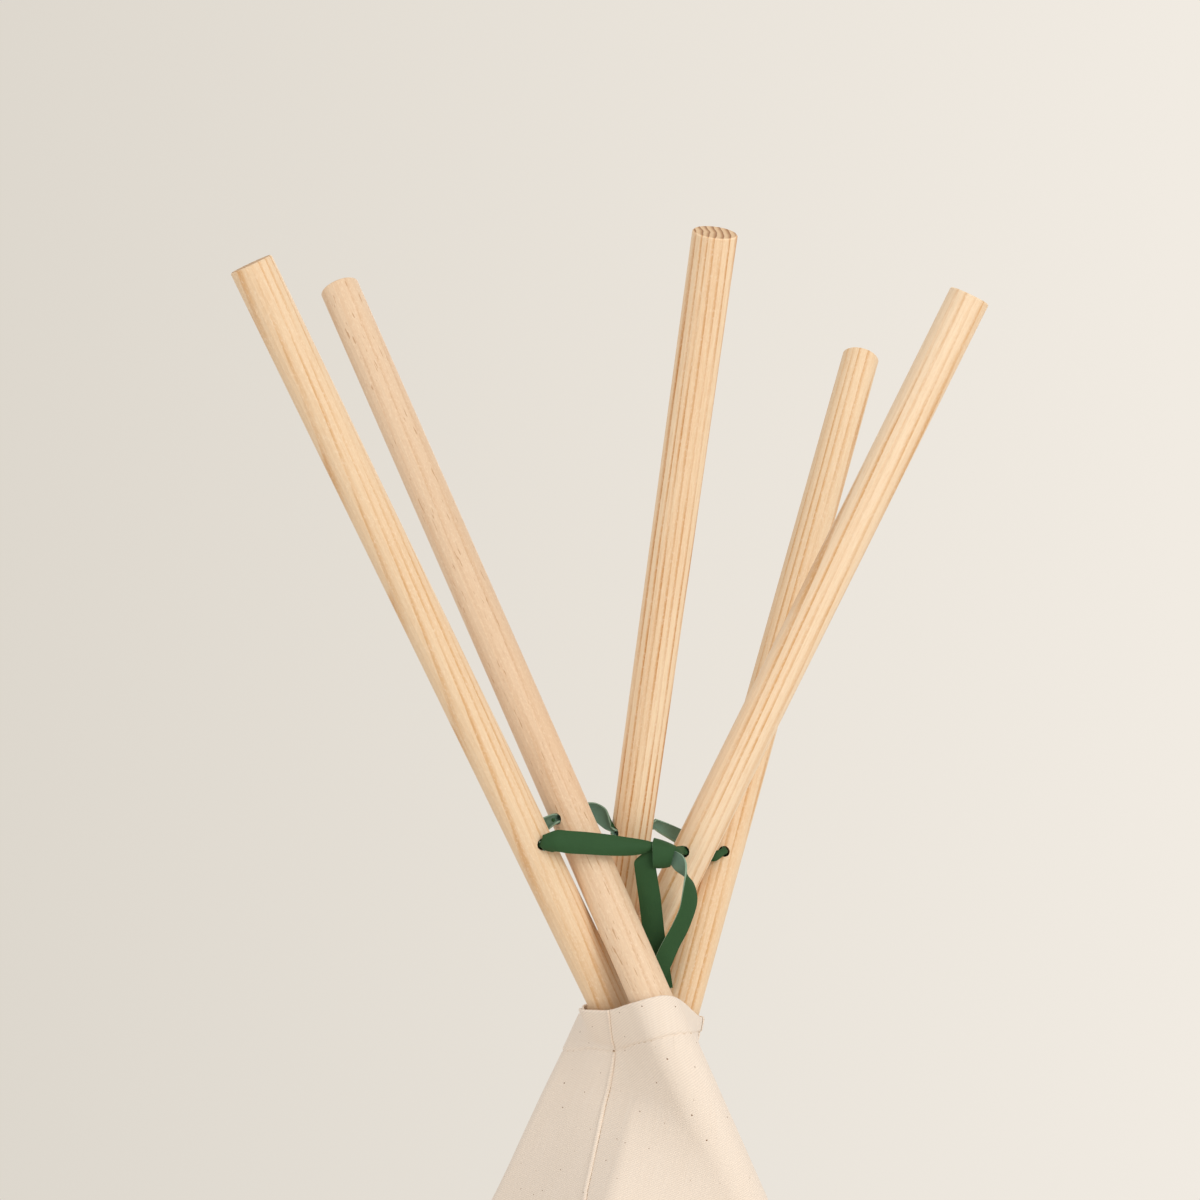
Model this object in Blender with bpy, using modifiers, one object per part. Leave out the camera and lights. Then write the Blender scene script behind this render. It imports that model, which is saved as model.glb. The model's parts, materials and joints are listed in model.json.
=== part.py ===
"""Kids' teepee: five jointed wooden poles tied together through their holes, with a canvas cover.

Metres, +Z up. The front, with the doorway, faces -Y, and the origin lies on the floor under the
middle of the stand. Poles are numbered as their tops stand from left to right, seen from the front.
"""

import itertools
import math
from collections import namedtuple

import bmesh
import bpy
from mathutils import Matrix, Vector
from mathutils.geometry import convex_hull_2d

# Poles: round pine rods in two halves, with a drilled hole for the strap near the top
POLES = (1, 2, 3, 4, 5)
POLE_LENGTH = 1.800
POLE_DIAMETER = 0.028
POLE_EDGE_ROUNDING = 0.0008
POLE_SIDES = 24
TOP_TO_HOLE = 0.420
HOLE_DIAMETER = 0.008
HOLE_SIDES = 12
UPPER_HALF_LENGTH = 0.900
HALVES_GAP = 0.0003

# Steel ferrule that joins the two halves of a pole, with rolled lips and a crimped groove
FERRULE_LENGTH = 0.080
FERRULE_WALL = 0.0010
FERRULE_CLEARANCE = 0.00035
FERRULE_LIP = 0.0005
FERRULE_LIP_LENGTH = 0.003
FERRULE_CRIMP_LENGTH = 0.004
FERRULE_CRIMP_SHARE = 0.22
MERGE_DISTANCE = 0.00001
EDGE_ANGLE = 50.0

# Stand: where the feet and the holes lie in plan
FOOT_CIRCLE_RADIUS = 0.592
FOOT_BEARINGS = {1: 27.0, 2: -37.2, 3: 105.3, 4: -120.3, 5: 166.6}
FOOT_REACH_SHARES = {1: 0.956, 2: 1.090, 3: 0.953, 4: 1.061, 5: 0.960}
POLE_CROSSING_GAP = 0.0005
CROSSING_SHIFT_X = 0.0422
CROSSING_SHIFT_Y = -0.0566
HOLE_PLACE_SHARES = {
    1: (-2.33, -1.38),
    2: (-1.41, -0.48),
    3: (0.04, 0.14),
    4: (2.23, 1.38),
    5: (1.48, 0.34),
}
HOLE_BEARINGS = {1: 32.0, 2: -47.0, 3: -56.0, 4: -2.0, 5: -31.0}
SETTLING_PASSES = 60

# Canvas cover: five panels, a hemmed collar, and a sleeve behind each pole
CANVAS_THICKNESS = 0.0011
COVER_EASE = 0.0010
SNUG_EASE = 0.0017
PANEL_GAP = 0.0004
COLLAR_GAP = 0.0009
HEM_HEIGHT = 0.008
COLLAR_HEIGHT = 1.103
COLLAR_BAND = 0.026
COLLAR_RISE = 0.028
COLLAR_SLACK = 0.004
COLLAR_SLACK_BEARING = 185.0
COLLAR_THICKNESS = 0.0022
SEAM_SET = 0.029
SEAM_TURN_SHARE = 0.889
COLLAR_SEAM_BEARINGS = {4: -121.0, 2: -38.0, 1: 34.0, 3: 106.0, 5: 158.0}
SAG_SHARE = 0.014
FOLD_SHARE = 0.006
FOLD_COUNT = 2
TURN_SHARE = 1.5
SECTION_POINTS = 60
ON_EDGE_SHARE = 1e-9
PANEL_COLUMNS = 20
PANEL_ROW_SHARES = (0.0, 0.12, 0.27, 0.42, 0.56, 0.68, 0.77, 0.84, 0.89, 0.93, 0.955, 0.978, 1.0)
RISE_PASSES = 3
COLLAR_COLUMNS = 72
RISE_FADE_LENGTH = 0.140

# How far the collar's edge and its stitch line rise, by bearing, in shares of COLLAR_RISE
EDGE_RISE_SHARES = {-170.0: 0.48, -121.0: 0.52, -69.0: 1.0, -40.0: 0.57, 0.0: 0.10, 90.0: 0.05}
STITCH_RISE_SHARES = {-170.0: 0.44, -121.0: 0.50, -72.0: 0.94, -49.0: 1.0, -30.0: 0.86,
                      8.0: 0.60, 60.0: 0.3, 130.0: 0.0}

# The poles in their order round the stand, with the panel that follows each one
RING = tuple(sorted(POLES, key=FOOT_BEARINGS.get))
PANEL_NAMES = (
    "front_panel",
    "right_front_panel",
    "right_back_panel",
    "left_back_panel",
    "left_front_panel",
)
TAUT_PANEL = "front_panel"
# Each seam lies beside its pole, before or after it in that order
SEAM_SIDES = {4: "before", 2: "after", 1: "after", 3: "after", 5: "before"}

# Sleeves that hold the poles to the cover
SLEEVE_THICKNESS = 0.0008
SLEEVE_EASE = 0.0006
SLEEVE_STITCH_GAP = 0.0009
SLEEVE_BOTTOM = 0.030
SLEEVE_TOP = 0.900
SLEEVE_COLUMNS = 11
SLEEVE_ROWS = 8

# Doorway and the two flaps that fold back beside it
DOOR_HEIGHT = 0.800
DOOR_HALF_WIDTH = 0.210
FLAP_OPEN_ANGLE = 166.0
FLAP_STANDOFF = 0.0020
FLAP_EDGE_GAP = 0.0020
FLAP_TIP_SHARE = 0.05
FLAP_CUP = 0.008
FLAP_ROWS = 9
FLAP_COLUMNS = 5
CUT_OVERRUN = 0.050

# Strap: flat soft leather, bunched where it passes through the holes
STRAP_WIDTH = 0.015
STRAP_THICKNESS = 0.0012
NARROW_WIDTH = 0.0085
BACK_WIDTH = 0.0125
BUNCH_WIDTH_SHARE = 0.75
BUNCH_THICKNESS_SHARE = 0.375
MOUTH_REACH = 0.0045
STRAP_STEPS = 4
KNOT_WIDTH = 0.0150
KNOT_DEPTH = 0.0090
KNOT_HEIGHT = 0.0190
KNOT_TAPER_SHARE = 0.12
KNOT_ROUNDING_POWER = 0.75
KNOT_SIDES = 16
KNOT_RINGS = 10
KNOT_PLACE_SHARES = (0.77, -0.96, -0.24)
TAIL_STEPS = 4

# The loop's own points, in pole pitches from the middle of the five holes
STRAP_POINT_SHARES = {
    "knot_to_5": [
        ((1.07, -0.7, -0.31), NARROW_WIDTH),
    ],
    "5_to_4": [
        ((2.14, 0.67, -0.5), NARROW_WIDTH),
    ],
    "4_to_3": [
        ((2.03, 2.23, -0.46), BACK_WIDTH),
        ((1.47, 1.6, -0.08), BACK_WIDTH),
        ((0.98, 1.0, 0.24), BACK_WIDTH),
    ],
    "3_to_2": [
        ((-0.78, -0.1, 0.73), NARROW_WIDTH),
    ],
    "2_to_1": [
        ((-2.25, -0.79, 0.41), NARROW_WIDTH),
        ((-2.64, -0.66, 0.19), NARROW_WIDTH),
    ],
    "1_to_knot": [
        ((-1.65, -1.91, 0.06), STRAP_WIDTH),
        ((-1.02, -1.72, -0.01), STRAP_WIDTH),
        ((-0.36, -1.44, -0.08), STRAP_WIDTH),
        ((0.47, -1.05, -0.16), BACK_WIDTH),
    ],
}

# The hanging ends' points, in pole pitches from the middle between these two front poles,
# with heights counted from the middle of the holes
TAIL_POLES = (2, 4)
TAIL_POINT_SHARES = {
    "tie_tail_left": [
        (-0.15, -1.06, -0.66), (-0.19, -0.72, -1.34), (-0.12, -0.42, -2.04),
        (-0.05, -0.16, -2.74), (-0.02, 0.05, -3.34), (-0.02, 0.22, -3.83),
    ],
    "tie_tail_right": [
        (0.42, -1.38, -0.36), (0.69, -1.39, -0.6), (0.8, -1.24, -1.16),
        (0.69, -1.01, -1.83), (0.42, -0.73, -2.5), (0.17, -0.52, -3.02),
        (-0.02, -0.42, -3.31),
    ],
}

CANVAS_COLOUR = "E9DFCF"
CANVAS_SLEEVE_COLOUR = "E4D9C7"
PINE_COLOURS = {1: "E2C08C", 2: "E3BD95", 3: "DDB07C", 4: "DFB988", 5: "E0B887"}
STEEL_COLOUR = "C9CBCC"
STRAP_COLOUR = "2C5A38"

POLE_RADIUS = POLE_DIAMETER / 2
FERRULE_BORE = POLE_RADIUS + FERRULE_CLEARANCE
FERRULE_RADIUS = FERRULE_BORE + FERRULE_WALL
COVER_RADIUS = FERRULE_RADIUS + FERRULE_LIP + COVER_EASE + CANVAS_THICKNESS / 2
SNUG_RADIUS = POLE_RADIUS + SNUG_EASE + CANVAS_THICKNESS / 2
SLEEVE_RADIUS = FERRULE_RADIUS + FERRULE_LIP + SLEEVE_EASE + SLEEVE_THICKNESS / 2
SEAM_TURN_HEIGHT = COLLAR_HEIGHT * SEAM_TURN_SHARE

Pole = namedtuple("Pole", "hole foot down outward")


# Materials

def linear(value):
    """Turn one sRGB channel, 0 to 1, into linear light."""
    if value <= 0.04045:
        return value / 12.92
    return ((value + 0.055) / 1.055) ** 2.4


def material(name, colour, roughness, metallic=0.0):
    """Return the named Principled material, made on first use."""
    if name in bpy.data.materials:
        return bpy.data.materials[name]
    made = bpy.data.materials.new(name)
    made.use_nodes = True
    shader = made.node_tree.nodes["Principled BSDF"]
    channels = [linear(int(colour[at:at + 2], 16) / 255) for at in (0, 2, 4)]
    shader.inputs["Base Color"].default_value = (*channels, 1.0)
    shader.inputs["Roughness"].default_value = roughness
    shader.inputs["Metallic"].default_value = metallic
    return made


def canvas():
    return material("unbleached_canvas", CANVAS_COLOUR, 0.92)


def sleeve_cloth():
    return material("sleeve_canvas", CANVAS_SLEEVE_COLOUR, 0.92)


def pine(number):
    return material(f"pine_{number}", PINE_COLOURS[number], 0.55)


def steel():
    return material("zinc_plated_steel", STEEL_COLOUR, 0.30, 1.0)


def strap_leather():
    return material("green_soft_leather", STRAP_COLOUR, 0.60)


# Objects

def add_object(name, mesh, finish, collection, parent=None, smooth_angle=None):
    """Link a mesh as a named object of the part."""
    piece = bpy.data.objects.new(name, mesh)
    collection.objects.link(piece)
    mesh.materials.clear()
    mesh.materials.append(finish)
    if parent is not None:
        piece.parent = parent
    if smooth_angle is not None:
        mesh.shade_smooth()
        mesh.set_sharp_from_angle(angle=math.radians(smooth_angle))
    return piece


def keep_place(piece, parent):
    """Parent a piece that is modelled in place, without moving it."""
    piece.parent = parent
    piece.matrix_parent_inverse = parent.matrix_world.inverted()


def add_pivot(name, place, collection):
    """Add an empty on a joint's axis, with the given placement matrix."""
    pivot = bpy.data.objects.new(name, None)
    pivot.empty_display_size = POLE_DIAMETER
    collection.objects.link(pivot)
    pivot.matrix_world = place
    return pivot


def grid_mesh(name, rows):
    """Make an open sheet through rows of points, faces up when rows run bottom to top."""
    sheet = bmesh.new()
    verts = [[sheet.verts.new(point) for point in row] for row in rows]
    for low, high in zip(verts, verts[1:]):
        for at in range(len(low) - 1):
            sheet.faces.new((low[at], low[at + 1], high[at + 1], high[at]))
    mesh = bpy.data.meshes.new(name)
    sheet.to_mesh(mesh)
    sheet.free()
    return mesh


def give_thickness(piece, thickness):
    """Turn an open sheet into cloth of the given thickness about its middle surface."""
    shell = piece.modifiers.new("thickness", "SOLIDIFY")
    shell.thickness = thickness
    shell.offset = 0.0
    shell.use_even_offset = True
    shell.use_rim = True


def polar(radius, bearing):
    angle = math.radians(bearing)
    return Vector((radius * math.cos(angle), radius * math.sin(angle)))


# Stand

def stand_pole(foot_plan, hole_plan):
    """Stand a square-cut pole on its lower edge, through given places in plan."""
    run = foot_plan - hole_plan
    reach = POLE_LENGTH - TOP_TO_HOLE
    sine = run.length / reach
    cosine = math.sqrt(1.0 - sine * sine)
    foot_height = (POLE_RADIUS - POLE_EDGE_ROUNDING) * sine
    foot = Vector((*foot_plan, foot_height))
    hole = Vector((*hole_plan, foot_height + reach * cosine))
    outward = Vector((*run.normalized(), 0.0))
    return Pole(hole, foot, (foot - hole) / reach, outward)


def settle(feet, holes):
    """Push apart the holes of poles that would cross closer than they can lie."""
    pitch = POLE_DIAMETER + POLE_CROSSING_GAP
    for _ in range(SETTLING_PASSES):
        for first, second in itertools.combinations(POLES, 2):
            one = stand_pole(feet[first], holes[first])
            other = stand_pole(feet[second], holes[second])
            across = one.down.cross(other.down).normalized()
            apart = (other.hole - one.hole).dot(across)
            short = pitch - abs(apart)
            if short > 0.0:
                push = across.xy * math.copysign(short / 2, apart)
                holes[first] -= push
                holes[second] += push
    return {number: stand_pole(feet[number], holes[number]) for number in POLES}


def lay_out_poles():
    """Work out the five poles, with the cover's hem centred on the origin."""
    feet = {n: polar(FOOT_CIRCLE_RADIUS * FOOT_REACH_SHARES[n], FOOT_BEARINGS[n]) for n in POLES}
    crossing = Vector((CROSSING_SHIFT_X, CROSSING_SHIFT_Y))
    pitch = POLE_DIAMETER + POLE_CROSSING_GAP
    holes = {n: crossing + pitch * Vector(HOLE_PLACE_SHARES[n]) for n in POLES}
    poles = settle(feet, holes)
    hem = cover_loop(poles, HEM_HEIGHT, COVER_RADIUS)
    across = [point.x for point in hem]
    along = [point.y for point in hem]
    centre = Vector(((min(across) + max(across)) / 2, (min(along) + max(along)) / 2, 0.0))
    return {n: p._replace(hole=p.hole - centre, foot=p.foot - centre) for n, p in poles.items()}


def pole_at(pole, height):
    """Return the plan place of a pole's axis at a height."""
    along = (height - pole.foot.z) / (pole.hole.z - pole.foot.z)
    return pole.foot.xy.lerp(pole.hole.xy, along)


def pole_frame(pole):
    """Placement of a pole: origin in the hole, +Z up the pole, +X to its lowest edge."""
    up = -pole.down
    low = (Vector((0.0, 0.0, -1.0)) - pole.down * (-pole.down.z)).normalized()
    side = up.cross(low)
    turn = Matrix((low, side, up)).transposed().to_4x4()
    return Matrix.Translation(pole.hole) @ turn


# Pole halves and ferrules

def round_bar(name, radius, low, high):
    """Make a round bar along Z between two heights, with a corner of its outline on +X."""
    bar = bmesh.new()
    bmesh.ops.create_cone(bar, cap_ends=True, segments=POLE_SIDES, radius1=radius,
                          radius2=radius, depth=high - low)
    bar.verts.ensure_lookup_table()
    corner_turn = math.atan2(bar.verts[0].co.y, bar.verts[0].co.x)
    bmesh.ops.rotate(bar, verts=bar.verts, matrix=Matrix.Rotation(-corner_turn, 3, "Z"))
    bmesh.ops.translate(bar, verts=bar.verts, vec=(0.0, 0.0, (low + high) / 2))
    mesh = bpy.data.meshes.new(name)
    bar.to_mesh(mesh)
    bar.free()
    return mesh


def round_the_ends(piece):
    """Ease the square-cut ends of a bar."""
    ease = piece.modifiers.new("eased_ends", "BEVEL")
    ease.width = POLE_EDGE_ROUNDING
    ease.segments = 1
    ease.limit_method = "ANGLE"
    ease.angle_limit = math.radians(EDGE_ANGLE)


def hole_direction(pole, bearing):
    """Direction of the strap hole, square to the pole, leaving towards the given bearing."""
    angle = math.radians(bearing)
    level = Vector((math.sin(angle), -math.cos(angle), 0.0))
    return (level - pole.down * level.dot(pole.down)).normalized()


def make_pole(number, pole, collection, cutters):
    """Make the two halves of a pole and its ferrule, all on one pivot in the strap hole."""
    pivot = add_pivot(f"pole_{number}_pivot", pole_frame(pole), collection)
    upper_end = TOP_TO_HOLE - UPPER_HALF_LENGTH
    foot_end = TOP_TO_HOLE - POLE_LENGTH
    upper = add_object(
        f"pole_{number}_upper",
        round_bar(f"pole_{number}_upper", POLE_RADIUS, upper_end, TOP_TO_HOLE),
        pine(number), collection, pivot, EDGE_ANGLE)
    round_the_ends(upper)
    drill_hole(upper, number, pole, cutters)
    lower = add_object(
        f"pole_{number}_lower",
        round_bar(f"pole_{number}_lower", POLE_RADIUS, foot_end, upper_end - HALVES_GAP),
        pine(number), collection, pivot, EDGE_ANGLE)
    round_the_ends(lower)
    ferrule = add_object(f"pole_{number}_ferrule", ferrule_profile(number, upper_end),
                         steel(), collection, pivot)
    turned = ferrule.modifiers.new("turned", "SCREW")
    turned.steps = POLE_SIDES
    turned.render_steps = POLE_SIDES
    turned.use_merge_vertices = True
    turned.merge_threshold = MERGE_DISTANCE
    turned.use_smooth_shade = True
    return pivot


def drill_hole(upper, number, pole, cutters):
    """Cut the strap hole through the upper half."""
    drill = bmesh.new()
    depth = POLE_DIAMETER + CUT_OVERRUN
    bmesh.ops.create_cone(drill, cap_ends=True, segments=HOLE_SIDES, radius1=HOLE_DIAMETER / 2,
                          radius2=HOLE_DIAMETER / 2, depth=depth)
    mesh = bpy.data.meshes.new(f"hole_{number}_drill")
    drill.to_mesh(mesh)
    drill.free()
    cutter = bpy.data.objects.new(f"hole_{number}_drill", mesh)
    cutters.objects.link(cutter)
    cutter.hide_render = True
    cutter.display_type = "WIRE"
    aim = hole_direction(pole, HOLE_BEARINGS[number])
    cutter.matrix_world = Matrix.Translation(pole.hole) @ aim.to_track_quat("Z", "Y").to_matrix().to_4x4()
    cut = upper.modifiers.new("strap_hole", "BOOLEAN")
    cut.operation = "DIFFERENCE"
    cut.solver = "EXACT"
    cut.object = cutter


def ferrule_profile(number, joint):
    """Outline of the ferrule's wall, to be turned: down the outside and up the bore."""
    half = FERRULE_LENGTH / 2
    lip = FERRULE_RADIUS + FERRULE_LIP
    crimp = FERRULE_RADIUS - FERRULE_WALL * FERRULE_CRIMP_SHARE
    crimp_at = half / 2
    outline = [
        (lip, half),
        (lip, half - FERRULE_LIP_LENGTH),
        (FERRULE_RADIUS, half - FERRULE_LIP_LENGTH - FERRULE_LIP),
        (FERRULE_RADIUS, crimp_at + FERRULE_CRIMP_LENGTH / 2),
        (crimp, crimp_at),
        (FERRULE_RADIUS, crimp_at - FERRULE_CRIMP_LENGTH / 2),
        (FERRULE_RADIUS, FERRULE_CRIMP_LENGTH / 2 - crimp_at),
        (crimp, -crimp_at),
        (FERRULE_RADIUS, -crimp_at - FERRULE_CRIMP_LENGTH / 2),
        (FERRULE_RADIUS, FERRULE_LIP_LENGTH + FERRULE_LIP - half),
        (lip, FERRULE_LIP_LENGTH - half),
        (lip, -half),
        (FERRULE_BORE, -half),
        (FERRULE_BORE, half),
    ]
    profile = bmesh.new()
    verts = [profile.verts.new((radius, 0.0, joint + height)) for radius, height in outline]
    for one, other in zip(verts, verts[1:] + verts[:1]):
        profile.edges.new((one, other))
    mesh = bpy.data.meshes.new(f"pole_{number}_ferrule")
    profile.to_mesh(mesh)
    profile.free()
    return mesh


# Cover: at each height the cloth is the tight loop round the five poles

def pole_section(pole, height, radius):
    """Plan outline of a leaning round bar at a height."""
    centre = pole_at(pole, height)
    long_way = pole.outward.xy
    short_way = Vector((-long_way.y, long_way.x))
    stretch = 1.0 / -pole.down.z
    points = []
    for step in range(SECTION_POINTS):
        angle = 2 * math.pi * step / SECTION_POINTS
        point = long_way * (radius * stretch * math.cos(angle))
        points.append(centre + point + short_way * (radius * math.sin(angle)))
    return points


def cover_loop(poles, height, radius):
    """Loop of cloth pulled tight round all poles at a height, counter-clockwise."""
    points = []
    for pole in poles.values():
        points += pole_section(pole, height, radius)
    return convex_loop(points)


def convex_loop(points):
    """Smallest convex outline round some points, counter-clockwise."""
    loop = [points[at] for at in convex_hull_2d(points)]
    area = sum(a.x * b.y - b.x * a.y for a, b in zip(loop, loop[1:] + loop[:1]))
    if area < 0.0:
        loop.reverse()
    return loop


def nearest_on_loop(loop, place):
    """Return (edge number, share along it) of the loop's point nearest to a place."""
    best = None
    for at, (one, other) in enumerate(zip(loop, loop[1:] + loop[:1])):
        edge = other - one
        share = max(0.0, min(1.0, (place - one).dot(edge) / edge.length_squared))
        distance = (one + edge * share - place).length
        if best is None or distance < best[0]:
            best = (distance, at, share)
    return best[1], best[2]


def loop_chain(loop, start, end):
    """Cut the loop counter-clockwise from one place on it to another.

    Each span is an edge of the loop and the shares along it where the span starts and ends,
    so that a point on a straight stretch knows how far it lies along the whole of it.
    """
    count = len(loop)
    steps = (end[0] - start[0]) % count
    if steps == 0 and end[1] <= start[1]:
        steps = count
    spans = []
    for step in range(steps + 1):
        at = (start[0] + step) % count
        low = start[1] if step == 0 else 0.0
        high = end[1] if step == steps else 1.0
        if high > low:
            spans.append((loop[at], loop[(at + 1) % count], low, high))
    return spans


def turn_between(span, following):
    one = span[1] - span[0]
    other = following[1] - following[0]
    return abs(one.angle_signed(other, 0.0))


def spread(spans, count):
    """Places along a chain, evenly spread by a mix of length and turning."""
    lengths = [(b - a).length * (high - low) for a, b, low, high in spans]
    turns = [turn_between(*pair) for pair in zip(spans, spans[1:])]
    total_length = sum(lengths)
    total_turn = sum(turns) or 1.0
    measures = []
    for at, length in enumerate(lengths):
        turned = (turns[at - 1] if at > 0 else 0.0) + (turns[at] if at < len(turns) else 0.0)
        measures.append(length / total_length + TURN_SHARE * turned / 2 / total_turn)
    total = sum(measures)
    places = []
    at = 0
    passed = 0.0
    for step in range(count):
        wanted = total * step / (count - 1)
        while at < len(spans) - 1 and passed + measures[at] < wanted:
            passed += measures[at]
            at += 1
        share = min(1.0, max(0.0, (wanted - passed) / measures[at]))
        a, b, low, high = spans[at]
        places.append((a, b, low + (high - low) * share))
    return places


def sagged(place, folds, inset=0.0):
    """Plan point of cloth that sags inwards between poles, with soft upright folds."""
    a, b, share = place
    edge = b - a
    inward = Vector((-edge.y, edge.x)).normalized()
    sag = SAG_SHARE * edge.length * 4 * share * (1 - share)
    wave = math.sin(2 * math.pi * FOLD_COUNT * share) * math.sin(math.pi * share)
    return a + edge * share + inward * (sag + folds * FOLD_SHARE * edge.length * wave + inset)


def cover_radius(height):
    """Radius of the cloth round a pole: clear of the ferrules low down, snug at the collar."""
    share = (height - SLEEVE_TOP) / (SEAM_TURN_HEIGHT - SLEEVE_TOP)
    return COVER_RADIUS + (SNUG_RADIUS - COVER_RADIUS) * max(0.0, min(1.0, share))


def smooth_share(share):
    """Ease a share in and out between 0 and 1."""
    share = max(0.0, min(1.0, share))
    return share * share * (3 - 2 * share)


def collar_rise(point, centre, rise_shares):
    """How far one edge of the collar rises where the cloth rides up over the front pole."""
    away = point - centre
    bearing = math.degrees(math.atan2(away.y, away.x))
    marks = sorted(rise_shares)
    after = next((mark for mark in marks if mark > bearing), marks[0])
    before = marks[marks.index(after) - 1]
    share = smooth_share(((bearing - before) % 360.0) / ((after - before) % 360.0))
    return COLLAR_RISE * (rise_shares[before] * (1 - share) + rise_shares[after] * share)


def slackened(point, centre, height):
    """Plan point of the cloth, moved off the poles at the slack side of the collar."""
    away = (point - centre).normalized()
    toward = polar(1.0, COLLAR_SLACK_BEARING)
    level = COLLAR_HEIGHT - COLLAR_BAND
    fade = smooth_share((height - SEAM_TURN_HEIGHT) / (level - SEAM_TURN_HEIGHT))
    return point + away * (COLLAR_SLACK * fade * max(0.0, away.dot(toward)) ** 2)


def loop_centre(poles, height):
    """Middle of the poles' axes at a height, in plan."""
    return sum((pole_at(pole, height) for pole in poles.values()), Vector((0.0, 0.0))) / len(poles)


def seam_place(poles, number, height):
    """Plan place that a seam follows: beside its pole, then to its place on the collar."""
    own = pole_at(poles[number], height)
    step = 1 if SEAM_SIDES[number] == "after" else -1
    beside_pole = RING[(RING.index(number) + step) % len(RING)]
    neighbour = pole_at(poles[beside_pole], min(height, SEAM_TURN_HEIGHT))
    beside = own + (neighbour - own).normalized() * SEAM_SET
    centre = loop_centre(poles, COLLAR_HEIGHT)
    on_collar = centre + polar(FOOT_CIRCLE_RADIUS, COLLAR_SEAM_BEARINGS[number])
    share = smooth_share((height - SEAM_TURN_HEIGHT) / (COLLAR_HEIGHT - SEAM_TURN_HEIGHT))
    if share == 0.0:
        return beside
    return turned_place(poles, height, beside, on_collar, share)


def turned_place(poles, height, beside, on_collar, share):
    """Far place in a direction that turns from one place towards another, about the middle."""
    centre = loop_centre(poles, height)
    first = beside - centre
    turn = first.angle_signed(on_collar - centre, 0.0)
    bearing = math.degrees(math.atan2(first.y, first.x) - turn * share)
    return centre + polar(FOOT_CIRCLE_RADIUS, bearing)


def seam_on_loop(poles, loop, number, height):
    """Place on the loop of a seam, found from the middle outwards where the poles cross."""
    place = seam_place(poles, number, height)
    if height <= SEAM_TURN_HEIGHT:
        return nearest_on_loop(loop, place)
    centre = loop_centre(poles, height)
    ray = (place - centre).normalized()
    best = None
    for at, (one, other) in enumerate(zip(loop, loop[1:] + loop[:1])):
        edge = other - one
        slant = edge.x * ray.y - edge.y * ray.x
        if slant == 0.0:
            continue
        to_one = one - centre
        reach = (edge.x * to_one.y - edge.y * to_one.x) / slant
        share = (ray.x * to_one.y - ray.y * to_one.x) / slant
        if reach > 0.0 and -ON_EDGE_SHARE <= share <= 1.0 + ON_EDGE_SHARE:
            best = (at, max(0.0, min(1.0, share)))
    return best


def shift_along(loop, place, distance):
    """Move a place counter-clockwise along the loop by a small distance."""
    at, share = place
    count = len(loop)
    while True:
        edge = loop[(at + 1) % count] - loop[at]
        moved = share + distance / edge.length
        if 0.0 <= moved <= 1.0:
            return at, moved
        if moved > 1.0:
            distance -= (1.0 - share) * edge.length
            at = (at + 1) % count
            share = 0.0
        else:
            distance += share * edge.length
            at = (at - 1) % count
            share = 1.0


def panel_places(poles, seams, height, count):
    """Spread places across a panel at a height, from its first seam to its last."""
    loop = cover_loop(poles, height, cover_radius(height))
    start = shift_along(loop, seam_on_loop(poles, loop, seams[0], height), PANEL_GAP / 2)
    end = shift_along(loop, seam_on_loop(poles, loop, seams[1], height), -PANEL_GAP / 2)
    return spread(loop_chain(loop, start, end), count)


def fold_strength(height):
    """Folds show at the hem and die out towards the collar."""
    return max(0.0, 1.0 - height / SEAM_TURN_HEIGHT) ** 0.5


def panel_rows(poles, seams, folds):
    """Rows of points of a panel, from the hem up to the collar's stitch line."""
    top = COLLAR_HEIGHT - COLLAR_BAND
    centre = loop_centre(poles, COLLAR_HEIGHT)

    def point_at(column, height):
        place = panel_places(poles, seams, height, PANEL_COLUMNS)[column]
        return slackened(sagged(place, fold_strength(height) if folds else 0.0), centre, height)

    rows = []
    for share in PANEL_ROW_SHARES:
        level = HEM_HEIGHT + share * (top - COLLAR_GAP - HEM_HEIGHT)
        fade = max(0.0, 1.0 - (top - level) / RISE_FADE_LENGTH)
        row = []
        for column in range(PANEL_COLUMNS):
            plan = point_at(column, level)
            height = level
            for _ in range(RISE_PASSES if fade > 0.0 else 0):
                height = level + fade * collar_rise(plan, centre, STITCH_RISE_SHARES)
                plan = point_at(column, height)
            row.append(Vector((*plan, height)))
        rows.append(row)
    return rows


def make_panels(poles, collection, cutters):
    """Make the five canvas panels, and cut the doorway in the front one."""
    for at, name in enumerate(PANEL_NAMES):
        seams = (RING[at], RING[(at + 1) % len(RING)])
        mesh = grid_mesh(name, panel_rows(poles, seams, name != TAUT_PANEL))
        panel = add_object(name, mesh, canvas(), collection, None, EDGE_ANGLE)
        give_thickness(panel, CANVAS_THICKNESS)
        if name == TAUT_PANEL:
            cut = panel.modifiers.new("doorway", "BOOLEAN")
            cut.operation = "DIFFERENCE"
            cut.solver = "EXACT"
            cut.object = doorway_cutter(poles, cutters)


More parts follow.
